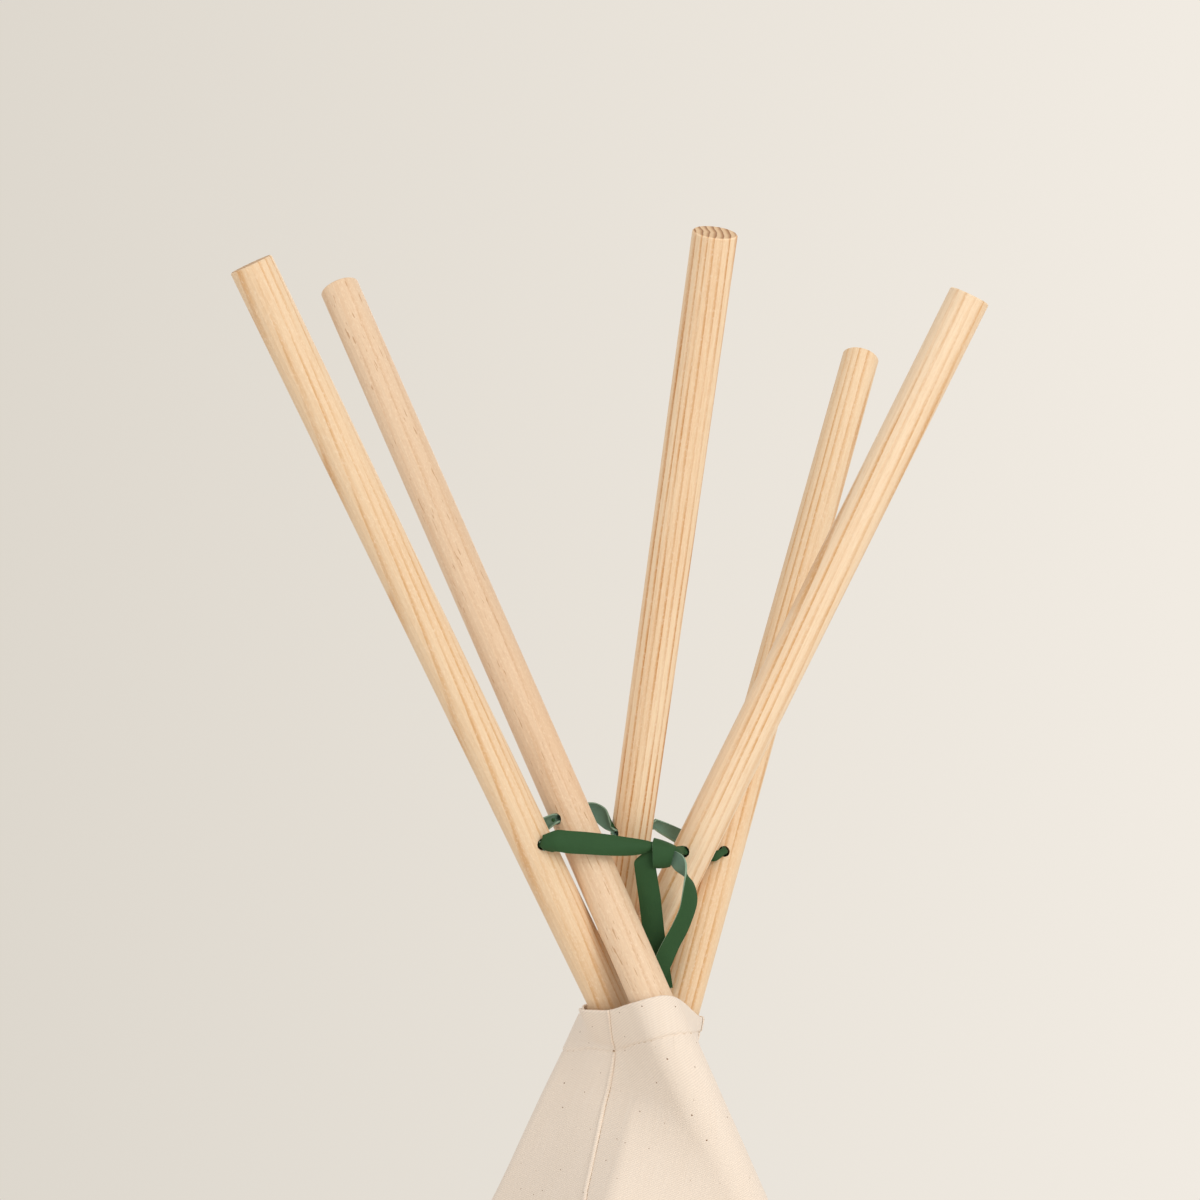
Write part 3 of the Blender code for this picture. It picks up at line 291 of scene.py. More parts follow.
def pine_finish(number):
    """Sanded pine: satin and pale, with uneven orange-brown growth lines along the pole that cross
    its sawn ends as dark rings, fine fibres, and on the plainer poles small dark pores."""
    ground, line, dark, spacing, pith, lean, strength, pores = PINES[number]
    pole = POLES[number]
    turn = pole_frame(pole).to_3x3().transposed()
    finish, tree, shader = new_finish(f"sanded_pine_{number}", 0.52)
    shader.inputs["Specular IOR Level"].default_value = 0.30
    places = add_node(tree, "ShaderNodeTexCoord")
    on_pole = add_node(tree, "ShaderNodeMapping", {
        "Vector": places.outputs["Object"], "Rotation": turn.to_euler("XYZ"),
        "Location": -(turn @ pole["hole"])})
    # Drawn out along the pole; the lean makes the lines run out in long arches
    trunk = add_node(tree, "ShaderNodeMapping", {
        "Vector": on_pole.outputs["Vector"], "Scale": (1.0, 1.0, 0.07),
        "Rotation": (0.0, math.radians(lean), 0.0), "Location": (*pith, 0.1 * number)})
    rings = add_node(tree, "ShaderNodeTexWave", {
        "Vector": trunk.outputs["Vector"], "Scale": math.pi / 10 / spacing, "Distortion": 5.5,
        "Detail": 2.5, "Detail Scale": 0.45, "Detail Roughness": 0.55},
        wave_type="RINGS", rings_direction="Z", wave_profile="SAW")
    growth = add_node(tree, "ShaderNodeValToRGB", {"Fac": rings.outputs["Fac"]}, stops=(
        (0.0, ground), (1.0, ground), (0.55, ground), (0.80, line), (0.90, dark), (0.96, line)))
    # Some years grew a strong line and some a faint one
    years = add_node(tree, "ShaderNodeTexNoise", {"Vector": trunk.outputs["Vector"], "Scale": 150.0, "Detail": 1.0})
    year_share = add_node(tree, "ShaderNodeMapRange", {
        "Value": years.outputs["Fac"], "From Min": 0.35, "From Max": 0.62,
        "To Min": 0.25 * strength, "To Max": strength})
    drawn = add_node(tree, "ShaderNodeMapping", {"Vector": on_pole.outputs["Vector"], "Scale": (1.0, 1.0, 0.06)})
    fibres = add_node(tree, "ShaderNodeTexNoise", {
        "Vector": drawn.outputs["Vector"], "Scale": 1300.0, "Detail": 4.0, "Roughness": 0.65})
    short_way = add_node(tree, "ShaderNodeMapping", {"Vector": on_pole.outputs["Vector"], "Scale": (1.0, 1.0, 0.4)})
    mottle = add_node(tree, "ShaderNodeTexNoise", {
        "Vector": short_way.outputs["Vector"], "Scale": 950.0, "Detail": 2.0, "Roughness": 0.7})
    patches = add_node(tree, "ShaderNodeTexNoise", {
        "Vector": trunk.outputs["Vector"], "Scale": 60.0, "Detail": 3.0})
    dashes = add_node(tree, "ShaderNodeMapping", {"Vector": on_pole.outputs["Vector"], "Scale": (1.0, 1.0, 0.13)})
    pore_noise = add_node(tree, "ShaderNodeTexNoise", {
        "Vector": dashes.outputs["Vector"], "Scale": 700.0, "Detail": 1.0})
    lined = add_node(tree, "ShaderNodeMix", {
        0: year_share.outputs["Result"], 6: linear_colour(ground), 7: growth.outputs["Color"]}, data_type="RGBA")
    streaks = add_node(tree, "ShaderNodeMapRange", {
        "Value": fibres.outputs["Fac"], "From Min": 0.46, "From Max": 0.74, "To Min": 0.0, "To Max": 0.36})
    streaked = add_node(tree, "ShaderNodeMix", {
        0: streaks.outputs["Result"], 6: lined.outputs[2], 7: linear_colour(line)}, data_type="RGBA")
    patch_share = add_node(tree, "ShaderNodeMapRange", {
        "Value": patches.outputs["Fac"], "From Min": 0.42, "From Max": 0.70, "To Min": 0.0, "To Max": 0.26})
    toned = add_node(tree, "ShaderNodeMix", {
        0: patch_share.outputs["Result"], 6: streaked.outputs[2], 7: linear_colour(line)}, data_type="RGBA")
    speck_share = add_node(tree, "ShaderNodeMapRange", {
        "Value": mottle.outputs["Fac"], "From Min": 0.50, "From Max": 0.75, "To Min": 0.0, "To Max": 0.55})
    specked = add_node(tree, "ShaderNodeMix", {
        0: speck_share.outputs["Result"], 6: toned.outputs[2], 7: linear_colour("F3DEC3")}, data_type="RGBA")
    pore_share = add_node(tree, "ShaderNodeMapRange", {
        "Value": pore_noise.outputs["Fac"], "From Min": 0.68, "From Max": 0.74, "To Min": 0.0, "To Max": pores})
    pored = add_node(tree, "ShaderNodeMix", {
        0: pore_share.outputs["Result"], 6: specked.outputs[2], 7: linear_colour("B27C4C")}, data_type="RGBA")
    # Sawn across, the late wood is much darker
    facing = add_node(tree, "ShaderNodeVectorMath", {
        0: places.outputs["Normal"], 1: pole["down"]}, operation="DOT_PRODUCT")
    turned_out = add_node(tree, "ShaderNodeMath", {0: facing.outputs["Value"]}, operation="ABSOLUTE")
    sawn = add_node(tree, "ShaderNodeMath", {0: turned_out.outputs[0], 1: 0.8}, operation="GREATER_THAN")
    end_rings = add_node(tree, "ShaderNodeValToRGB", {"Fac": rings.outputs["Fac"]}, stops=(
        (0.0, "DDBB92"), (1.0, "C79F72"), (0.40, "D9B58A"), (0.78, "A87648"), (0.93, "8A5A32")))
    ended = add_node(tree, "ShaderNodeMix", {
        0: sawn.outputs[0], 6: pored.outputs[2], 7: end_rings.outputs["Color"]}, data_type="RGBA")
    rough = add_node(tree, "ShaderNodeMapRange", {"Value": fibres.outputs["Fac"], "To Min": 0.44, "To Max": 0.64})
    bump = add_node(tree, "ShaderNodeBump", {
        "Height": fibres.outputs["Fac"], "Strength": 0.30, "Distance": 0.0002})
    tree.links.new(ended.outputs[2], shader.inputs["Base Color"])
    tree.links.new(rough.outputs["Result"], shader.inputs["Roughness"])
    tree.links.new(bump.outputs["Normal"], shader.inputs["Normal"])
    return finish


def steel_finish():
    """Zinc-plated steel tube: bright grey, softly spangled, with fine turning lines."""
    finish, tree, shader = new_finish("zinc_plated_steel", 0.34, 1.0)
    place = add_node(tree, "ShaderNodeTexCoord").outputs["Object"]
    spangle = add_node(tree, "ShaderNodeTexVoronoi", {"Vector": place, "Scale": 260.0}, feature="SMOOTH_F1")
    wiped = add_node(tree, "ShaderNodeTexNoise", {"Vector": place, "Scale": 700.0, "Detail": 4.0})
    tone = add_node(tree, "ShaderNodeMix", {
        0: spangle.outputs["Distance"], 6: linear_colour(bpy.context.scene.teepee_colours.steel),
        7: linear_colour("A9ACAF")}, data_type="RGBA")
    rough = add_node(tree, "ShaderNodeMapRange", {"Value": wiped.outputs["Fac"], "To Min": 0.26, "To Max": 0.44})
    bump = add_node(tree, "ShaderNodeBump", {"Height": wiped.outputs["Fac"], "Strength": 0.15, "Distance": 0.0001})
    tree.links.new(tone.outputs[2], shader.inputs["Base Color"])
    tree.links.new(rough.outputs["Result"], shader.inputs["Roughness"])
    tree.links.new(bump.outputs["Normal"], shader.inputs["Normal"])
    return finish


def finish_named(name, make, *values):
    """Return a finish, made on first use."""
    return bpy.data.materials.get(name) or make(*values)


def strap_finishes():
    """Face, lining and cut edge of the strap."""
    colours = bpy.context.scene.teepee_colours
    return (
        finish_named("strap_face", leather_finish, "strap_face", colours.strap, 0.10, 0.72),
        finish_named("strap_lining", leather_finish, "strap_lining", colours.lining, 0.22, 0.85),
        finish_named("strap_cut_edge", leather_finish, "strap_cut_edge", "86A08A", 0.15, 0.85),
    )


def canvas_for(name):
    return finish_named(name, canvas_finish, name, bpy.context.scene.teepee_colours.canvas)


# Stand

def read_poles():
    """Each pole's hole and direction, from its joint and its foot's mount."""
    joints = {joint["name"]: joint for joint in frame["record"]["behaviour"]["joints"]}
    mounts = {mount["name"]: mount for mount in frame["record"]["mounts"]}
    poles = {}
    for number in RING:
        down = Vector(mounts[f"foot_end_{number}"]["axis"]).normalized()
        outward = down.xy.normalized()
        hole = Vector(joints[f"pole_{number}_fold"]["pos_m"])
        poles[number] = {"hole": hole, "down": down, "outward": outward}
    return poles


POLES = read_poles()


def pole_at(number, height):
    """Plan place of a pole's axis at a height."""
    pole = POLES[number]
    return (pole["hole"] + pole["down"] * ((height - pole["hole"].z) / pole["down"].z)).xy


def pole_frame(pole):
    """A pole's own axes: +Z up it, +X to its lowest edge."""
    up = -pole["down"]
    low = (Vector((0.0, 0.0, -1.0)) + up * up.z).normalized()
    return Matrix((low, up.cross(low), up)).transposed().to_4x4()


# Pieces from bent grids

def bent_grid(columns, rows, place, maps=()):
    """Make a grid and lay each of its points where place(column, row) says.

    Each map is a name and a function that gives a point's place in that UV map.
    """
    sheet = bmesh.new()
    bmesh.ops.create_grid(sheet, x_segments=columns - 1, y_segments=rows - 1, size=1.0)
    sheet.verts.index_update()
    marks = []
    for vert in sheet.verts:
        column = round((vert.co.x + 1.0) / 2 * (columns - 1))
        row = round((vert.co.y + 1.0) / 2 * (rows - 1))
        marks.append((column, row))
    for vert, mark in zip(sheet.verts, marks):
        vert.co = place(*mark)
    for name, value in maps:
        layer = sheet.loops.layers.uv.new(name)
        for face in sheet.faces:
            for loop in face.loops:
                loop[layer].uv = value(*marks[loop.vert.index])
    return sheet


def add_piece(name, sheet, finishes, thickness=0.0, angle=55.0, levels=0):
    """Turn a bmesh into a finished piece, with its thickness in its mesh."""
    mesh = bpy.data.meshes.new(name)
    sheet.to_mesh(mesh)
    sheet.free()
    for finish in finishes:
        mesh.materials.append(finish)
    piece = bpy.data.objects.new(name, mesh)
    bpy.context.scene.collection.objects.link(piece)
    if thickness:
        shell = piece.modifiers.new("thickness", "SOLIDIFY")
        shell.thickness = thickness
        shell.offset = 0.0
        if len(finishes) > 1:
            shell.material_offset = 1
            shell.material_offset_rim = 2
    if levels:
        rounded = piece.modifiers.new("rounded", "SUBSURF")
        rounded.levels = levels
        rounded.render_levels = levels
    bpy.context.view_layer.update()
    graph = bpy.context.evaluated_depsgraph_get()
    done = bpy.data.meshes.new_from_object(piece.evaluated_get(graph), depsgraph=graph)
    piece.modifiers.clear()
    piece.data = done
    done.name = name
    done.shade_smooth()
    done.set_sharp_from_angle(angle=math.radians(angle))
    return piece


def cloth_area(sheet):
    return sum(face.calc_area() for face in sheet.faces)


# Strap

def curve_between(before, one, two, after, share):
    """Smooth reading between two stations, for numbers and vectors alike."""
    square = share * share
    cube = square * share
    start = before * (-cube + 2 * square - share)
    middle = one * (3 * cube - 5 * square + 2) + two * (-3 * cube + 4 * square + share)
    return (start + middle + after * (cube - square)) * 0.5


def read_between(stations, steps):
    """Read stations of (edge, other edge, crown) along a smooth curve."""
    last = len(stations) - 1
    read = []
    for at in range(last):
        four = [stations[min(last, max(0, at + step))] for step in (-1, 0, 1, 2)]
        for step in range(steps):
            read.append(tuple(curve_between(*parts, step / steps) for parts in zip(*four)))
    read.append(stations[last])
    return read


def strap_sheet(read, columns):
    """Bend a strip along stations. Its face lies on the side of way x across."""
    middles = [(low + high) / 2 for low, high, _ in read]

    def place(column, row):
        low, high, crown = read[row]
        way = middles[min(row + 1, len(read) - 1)] - middles[max(row - 1, 0)]
        out = way.cross(high - low).normalized()
        share = column / (columns - 1)
        return high.lerp(low, share) + out * (crown * (4 * share * (1 - share) - 0.5))

    return bent_grid(columns, len(read), place), middles


def edge_pair(point, width, crown, across=Vector((0.0, 0.0, 1.0))):
    """Station of the strap round a middle point."""
    point = Vector(point)
    return point - across * (width / 2), point + across * (width / 2), crown


def station(low, high, crown):
    return Vector(low), Vector(high), crown


def hole_way(number, bearing):
    """The way of a strap hole, square to its pole, leaving towards a bearing."""
    angle = math.radians(bearing)
    level = Vector((math.sin(angle), -math.cos(angle), 0.0))
    down = POLES[number]["down"]
    return (level - down * level.dot(down)).normalized()


HOLE_BEARINGS = {1: 32.0, 2: -47.0, 3: -56.0, 4: -2.0, 5: -31.0}


def through_hole(number, towards_front):
    """Stations of the strap rolled up inside a pole."""
    way = hole_way(number, HOLE_BEARINGS[number])
    hole = POLES[number]["hole"]
    up = -POLES[number]["down"]
    rolled = [(-0.0172, 0.0068, 0.0032), (-0.014, 0.0052, 0.0040), (0.0, 0.0050, 0.0040),
              (0.014, 0.0052, 0.0040), (0.0172, 0.0068, 0.0032)]
    if not towards_front:
        rolled = [(-along, width, crown) for along, width, crown in rolled]
    return [edge_pair(hole + way * along, width, crown, up) for along, width, crown in rolled]


FRONT_STRETCH = (
    ((0.0118, -0.1158, 1.2268), (0.0122, -0.1150, 1.2401), 0.0032),
    ((0.0209, -0.1130, 1.2250), (0.0216, -0.1115, 1.2392), 0.0024),
    ((0.0318, -0.1078, 1.2236), (0.0328, -0.1055, 1.2376), 0.0020),
    ((0.0428, -0.1020, 1.2221), (0.0440, -0.0995, 1.2356), 0.0020),
    ((0.0539, -0.0975, 1.2211), (0.0550, -0.0955, 1.2333), 0.0024),
    ((0.0633, -0.0940, 1.2209), (0.0643, -0.0930, 1.2313), 0.0030),
    ((0.0707, -0.0918, 1.2217), (0.0716, -0.0918, 1.2295), 0.0030),
    ((0.0755, -0.0900, 1.2235), (0.0760, -0.0900, 1.2282), 0.0018),
    ((0.0800, -0.0880, 1.2242), (0.0800, -0.0880, 1.2269), 0.0006),
)
BACK_ARC = [
    (Vector((0.0498, -0.0612, 1.2342)), Vector((0.0496, -0.0612, 1.2397)), 0.0028),
    (Vector((0.0448, -0.0560, 1.2360)), Vector((0.0465, -0.0560, 1.2486)), 0.0020),
    (Vector((0.0388, -0.0528, 1.2408)), Vector((0.0398, -0.0528, 1.2530)), 0.0018),
    (Vector((0.0335, -0.0550, 1.2462)), Vector((0.0330, -0.0550, 1.2537)), 0.0026),
]
WRAP = (
    ((0.0790, -0.0790, 1.2250), (0.0900, -0.0762, 1.2215), 0.0004),
    ((0.0776, -0.0830, 1.2298), (0.0912, -0.0800, 1.2243), 0.0006),
    ((0.0768, -0.0885, 1.2307), (0.0914, -0.0855, 1.2247), 0.0006),
    ((0.0758, -0.0928, 1.2275), (0.0905, -0.0892, 1.2231), 0.0008),
    ((0.0758, -0.0940, 1.2216), (0.0892, -0.0905, 1.2189), 0.0010),
    ((0.0757, -0.0932, 1.2155), (0.0880, -0.0897, 1.2146), 0.0008),
    ((0.0760, -0.0892, 1.2117), (0.0873, -0.0860, 1.2117), 0.0006),
    ((0.0770, -0.0832, 1.2116), (0.0870, -0.0805, 1.2117), 0.0004),
    ((0.0782, -0.0787, 1.2142), (0.0874, -0.0768, 1.2137), 0.0002),
)
LEFT_END = (
    ((0.0681, -0.0835, 1.2190), (0.0777, -0.0850, 1.2282), 0.0),
    ((0.0637, -0.0850, 1.2156), (0.0765, -0.0868, 1.2217), 0.0006),
    ((0.0637, -0.0840, 1.2105), (0.0774, -0.0862, 1.2136), 0.0010),
    ((0.0647, -0.0808, 1.2006), (0.0788, -0.0830, 1.2026), 0.0012),
    ((0.0660, -0.0782, 1.1890), (0.0804, -0.0802, 1.1905), 0.0012),
    ((0.0670, -0.0764, 1.1774), (0.0814, -0.0780, 1.1785), 0.0010),
    ((0.0685, -0.0752, 1.1644), (0.0825, -0.0764, 1.1655), 0.0008),
    ((0.0704, -0.0744, 1.1516), (0.0842, -0.0754, 1.1526), 0.0006),
    ((0.0722, -0.0738, 1.1380), (0.0858, -0.0747, 1.1392), 0.0004),
    ((0.0736, -0.0734, 1.1280), (0.0870, -0.0742, 1.1292), 0.0),
)
RIGHT_END = (
    ((0.0909, -0.0850, 1.2218), (0.0835, -0.0800, 1.2155), 0.0),
    ((0.0956, -0.0905, 1.2191), (0.0877, -0.0830, 1.2133), 0.0002),
    ((0.0976, -0.0945, 1.2147), (0.0913, -0.0830, 1.2089), 0.0004),
    ((0.0976, -0.0960, 1.2092), (0.0972, -0.0820, 1.2046), 0.0004),
    ((0.0966, -0.0960, 1.2033), (0.1022, -0.0845, 1.2006), 0.0006),
    ((0.0950, -0.0950, 1.1946), (0.1047, -0.0855, 1.1913), 0.0008),
    ((0.0926, -0.0935, 1.1839), (0.1034, -0.0860, 1.1824), 0.0010),
    ((0.0868, -0.0915, 1.1719), (0.0979, -0.0860, 1.1689), 0.0010),
    ((0.0801, -0.0900, 1.1606), (0.0915, -0.0855, 1.1574), 0.0008),
    ((0.0755, -0.0885, 1.1516), (0.0862, -0.0850, 1.1462), 0.0004),
    ((0.0717, -0.0875, 1.1440), (0.0819, -0.0845, 1.1372), 0.0),
)


def loop_stations():
    """The strap's way: out of the knot, through poles 5, 4, 3, 2 and 1, and back across the front."""
    stations = [edge_pair((0.0880, -0.0800, 1.2200), 0.0090, 0.0022),
                edge_pair((0.0925, -0.0775, 1.2195), 0.0085, 0.0030)]
    stations += through_hole(5, False)
    stations += [edge_pair((0.1200, -0.0380, 1.2135), 0.0075, 0.0016, -POLES[4]["down"]),
                 edge_pair((0.1262, -0.0345, 1.2155), 0.0065, 0.0022, -POLES[4]["down"])]
    stations += through_hole(4, False)[1:]
    stations += [edge_pair((0.1205, 0.0060, 1.2135), 0.0120, 0.0016),
                 edge_pair((0.1040, -0.0120, 1.2212), 0.0132, 0.0010),
                 edge_pair((0.0900, -0.0290, 1.2300), 0.0105, 0.0018),
                 edge_pair((0.0800, -0.0400, 1.2358), 0.0080, 0.0026)]
    stations += through_hole(3, True)[:-1]
    stations += BACK_ARC
    stations += through_hole(2, True)
    stations += [edge_pair((-0.0010, -0.0806, 1.2388), 0.0112, 0.0024),
                 edge_pair((-0.0130, -0.0765, 1.2335), 0.0095, 0.0028)]
    stations += through_hole(1, True)[:-1]
    way = hole_way(1, HOLE_BEARINGS[1])
    for along, width, crown in ((0.0150, 0.0074, 0.0044), (0.0164, 0.0104, 0.0050), (0.0186, 0.0124, 0.0044)):
        stations.append(edge_pair(POLES[1]["hole"] + way * along, width, crown, -POLES[1]["down"]))
    return stations + [station(*ends) for ends in FRONT_STRETCH]


# Canvas: at each height it is the tight loop round the five poles

def pulled_loop(height, radius):
    """Smallest outline round the leaning poles at a height, counter-clockwise."""
    points = []
    for number in RING:
        centre = pole_at(number, height)
        long_way = POLES[number]["outward"]
        short_way = Vector((-long_way.y, long_way.x))
        stretch = -radius / POLES[number]["down"].z
        for step in range(60):
            angle = math.tau * step / 60
            points.append(centre + long_way * (stretch * math.cos(angle)) + short_way * (radius * math.sin(angle)))
    loop = [points[at] for at in convex_hull_2d(points)]
    if sum(a.x * b.y - b.x * a.y for a, b in zip(loop, loop[1:] + loop[:1])) < 0.0:
        loop.reverse()
    return loop


def cover_radius(height):
    """Radius of the cloth round a pole: clear of the ferrules low down, snug at the collar."""
    share = (height - SLEEVE_TOP) / (SEAM_TURN_HEIGHT - SLEEVE_TOP)
    return COVER_RADIUS + (SNUG_RADIUS - COVER_RADIUS) * max(0.0, min(1.0, share))


def eased(share):
    share = max(0.0, min(1.0, share))
    return share * share * (3 - 2 * share)


def poles_middle(height):
    return sum((pole_at(number, height) for number in RING), Vector((0.0, 0.0))) / len(RING)


def rise_at(point, rises):
    """How far the collar's edge or stitch line rises where the cloth rides over the front pole."""
    away = point - poles_middle(COLLAR_HEIGHT)
    bearing = math.degrees(math.atan2(away.y, away.x))
    marks = sorted(rises)
    total = 0.0
    for turn in (-9.0, -6.0, -3.0, 0.0, 3.0, 6.0, 9.0):
        here = (bearing + turn + 180.0) % 360.0 - 180.0
        after = next((mark for mark in marks if mark > here), marks[0])
        before = marks[marks.index(after) - 1]
        share = ((here - before) % 360.0) / ((after - before) % 360.0)
        total += rises[before] * (1 - share) + rises[after] * share
    return COLLAR_RISE * total / 7


def slackened(point, height):
    """Move the cloth off the poles at the collar's slack side."""
    away = (point - poles_middle(COLLAR_HEIGHT)).normalized()
    angle = math.radians(COLLAR_SLACK_BEARING)
    toward = Vector((math.cos(angle), math.sin(angle)))
    level = COLLAR_HEIGHT - COLLAR_BAND
    fade = eased((height - SEAM_TURN_HEIGHT) / (level - SEAM_TURN_HEIGHT))
    return point + away * (COLLAR_SLACK * fade * max(0.0, away.dot(toward)) ** 2)


def seam_mark(loop, number, height):
    """Edge of the loop, and share along it, where the seam beside a pole lies."""
    own = pole_at(number, height)
    beside_pole = RING[(RING.index(number) + SEAM_SIDES[number]) % len(RING)]
    neighbour = pole_at(beside_pole, min(height, SEAM_TURN_HEIGHT))
    place = own + (neighbour - own).normalized() * SEAM_SET
    edges = list(zip(loop, loop[1:] + loop[:1]))
    if height <= SEAM_TURN_HEIGHT:
        best = None
        for at, (one, other) in enumerate(edges):
            edge = other - one
            share = max(0.0, min(1.0, (place - one).dot(edge) / edge.length_squared))
            distance = (one + edge * share - place).length
            if best is None or distance < best[0]:
                best = (distance, at, share)
        return best[1:]
    turned = eased((height - SEAM_TURN_HEIGHT) / (COLLAR_HEIGHT - SEAM_TURN_HEIGHT))
    centre = poles_middle(height)
    collar_middle = poles_middle(COLLAR_HEIGHT)
    final = math.radians(COLLAR_SEAM_BEARINGS[number])
    on_collar = collar_middle + FAR * Vector((math.cos(final), math.sin(final)))
    first = place - centre
    turn = first.angle_signed(on_collar - centre, 0.0)
    bearing = math.atan2(first.y, first.x) - math.radians(math.degrees(turn) * turned)
    ray = Vector((math.cos(bearing), math.sin(bearing)))
    best = None
    for at, (one, other) in enumerate(edges):
        edge = other - one
        slant = edge.x * ray.y - edge.y * ray.x
        if slant == 0.0:
            continue
        to_one = one - centre
        reach = (edge.x * to_one.y - edge.y * to_one.x) / slant
        share = (ray.x * to_one.y - ray.y * to_one.x) / slant
        if reach > 0.0 and -1e-9 <= share <= 1.0 + 1e-9:
            best = (at, max(0.0, min(1.0, share)))
    return best


def shifted_mark(loop, mark, distance):
    """Move a mark along the loop by a distance."""
    at, share = mark
    count = len(loop)
    here = share * (loop[(at + 1) % count] - loop[at]).length + distance
    while here < 0.0:
        at = (at - 1) % count
        here += (loop[(at + 1) % count] - loop[at]).length
    while here > (loop[(at + 1) % count] - loop[at]).length:
        here -= (loop[(at + 1) % count] - loop[at]).length
        at = (at + 1) % count
    return at, here / (loop[(at + 1) % count] - loop[at]).length


def read_marks(marks, height):
    """Read a table of heights and values."""
    levels = sorted(marks)
    low = max(level for level in levels[:-1] if level <= height)
    high = levels[levels.index(low) + 1]
    share = (height - low) / (high - low)
    return marks[low] * (1 - share) + marks[high] * share


def cloth_line(first, last, height, folded):
    """Points along the cloth at a height, from one seam to the next, sagging between the poles."""
    loop = pulled_loop(height, cover_radius(height))
    start = seam_mark(loop, first, height)
    end = seam_mark(loop, last, height)
    if first == 4:
        start = shifted_mark(loop, start, read_marks(FRONT_SEAM_SHIFTS, height))
    if last == 4:
        end = shifted_mark(loop, end, read_marks(FRONT_SEAM_SHIFTS, height))
    folds = max(0.0, 1.0 - height / SEAM_TURN_HEIGHT) ** 0.5 if folded else 0.0
    count = len(loop)
    steps = (end[0] - start[0]) % count
    if steps == 0 and end[1] <= start[1]:
        steps = count
    points = []
    for step in range(steps + 1):
        a = loop[(start[0] + step) % count]
        b = loop[(start[0] + step + 1) % count]
        edge = b - a
        inward = Vector((-edge.y, edge.x)).normalized()
        low = start[1] if step == 0 else 0.0
        high = end[1] if step == steps else 1.0
        parts = max(1, math.ceil(edge.length * (high - low) / 0.006))
        for part in range(parts + (step == steps)):
            share = low + (high - low) * part / parts
            sag = SAG_SHARE * edge.length * 4 * share * (1 - share)
            wave = math.sin(4 * math.pi * share) * math.sin(math.pi * share)
            inset = sag + folds * FOLD_SHARE * edge.length * wave
            points.append(slackened(a + edge * share + inward * inset, height))
    return points


def line_lengths(points):
    lengths = [0.0]
    for one, other in zip(points, points[1:]):
        lengths.append(lengths[-1] + (other - one).length)
    return lengths


def read_line(points, lengths, distances):
    """Points at rising distances along a line."""
    read = []
    at = 0
    for distance in distances:
        while at < len(points) - 2 and lengths[at + 1] < distance:
            at += 1
        span = lengths[at + 1] - lengths[at]
        share = (distance - lengths[at]) / span if span > 0.0 else 0.0
        read.append(points[at].lerp(points[at + 1], max(0.0, min(1.0, share))))
    return read


NEAR_SEAM = (0.0002, 0.0005, 0.0010, 0.0016, 0.0022, 0.0028, 0.0034, 0.0040, 0.0047, 0.0056, 0.0070)
TABLE_HEIGHTS = ([HEM_HEIGHT] + [0.04 * step for step in range(1, 23)]
                 + [0.90 + 0.01 * step for step in range(10)] + [1.0 + 0.004 * step for step in range(36)])
HALF_COLUMNS = 64


def door_middle(height):
    """Across place of the doorway's middle at a height."""
    return (pole_at(4, height).x + pole_at(2, height).x) / 2


def half_panel_table(name, half):
    """For each table height, the points of half a panel, from its seam or its middle line on."""
    first, last = PANELS[name]
    table = []
    for height in TABLE_HEIGHTS:
        points = cloth_line(first, last, height, name != "front_panel")
        lengths = line_lengths(points)
        total = lengths[-1]
        middle = total / 2
        if name == "front_panel":
            wanted = door_middle(height)
            for at in range(len(points) - 1):
                if points[at].x <= wanted < points[at + 1].x:
                    share = (wanted - points[at].x) / (points[at + 1].x - points[at].x)
                    middle = lengths[at] + (lengths[at + 1] - lengths[at]) * share
        if half == "first":
            ends = (NEAR_SEAM[-1], middle)
            near = list(NEAR_SEAM[:-1])
            spread = [ends[0] + (ends[1] - ends[0]) * step / HALF_COLUMNS for step in range(HALF_COLUMNS + 1)]
            distances = near + spread
        else:
            near = [total - distance for distance in reversed(NEAR_SEAM[:-1])]
            stop = total - NEAR_SEAM[-1]
            spread = [middle + (stop - middle) * step / HALF_COLUMNS for step in range(HALF_COLUMNS + 1)]
            distances = spread + near
        table.append((read_line(points, lengths, distances), distances, total))
    return table


def read_table(table, column, height):
    """Plan point, distance from the first seam, and panel width, at a column and a height."""
    at = 0
    while at < len(TABLE_HEIGHTS) - 2 and TABLE_HEIGHTS[at + 1] < height:
        at += 1
    low, high = TABLE_HEIGHTS[at], TABLE_HEIGHTS[at + 1]
    share = max(0.0, min(1.0, (height - low) / (high - low)))
    one, other = table[at], table[at + 1]
    plan = one[0][column].lerp(other[0][column], share)
    distance = one[1][column] + (other[1][column] - one[1][column]) * share
    return plan, distance, one[2] + (other[2] - one[2]) * share


BAND_LEVEL = COLLAR_HEIGHT - COLLAR_BAND
ROW_LEVELS = ([HEM_HEIGHT + step for step in (0.0, 0.0012, 0.004, 0.010, 0.016, 0.0175, 0.019, 0.022)]
              + [0.045 + 0.015 * step for step in range(61)]
              + [0.958 + 0.0035 * step for step in range(34)]
              + [BAND_LEVEL - 0.0012, BAND_LEVEL - 0.0005])
BAND_SHARES = (0.0, 0.02, 0.05, 0.09, 0.15, 0.23, 0.32, 0.42, 0.52, 0.62, 0.72, 0.82, 0.91, 0.97, 1.0)
FOLD_OVER = (20.0, 45.0, 70.0, 95.0, 120.0, 150.0)
ROW_COUNT = len(ROW_LEVELS) + len(BAND_SHARES) + len(FOLD_OVER)


def creased(point, height):
    """Soft uneven swell of the cloth, always outwards, calmer at the collar."""
    crease = bpy.context.scene.teepee_sizes.crease_height
    calm = 1.0 - 0.55 * eased((height - 0.98) / 0.1)
    place = Vector((point.x, point.y, height))
    broad = noise.noise(place * 11.0) + 0.25 * noise.noise(place * 30.0)
    return crease * calm * max(0.0, 0.55 + 0.5 * broad)


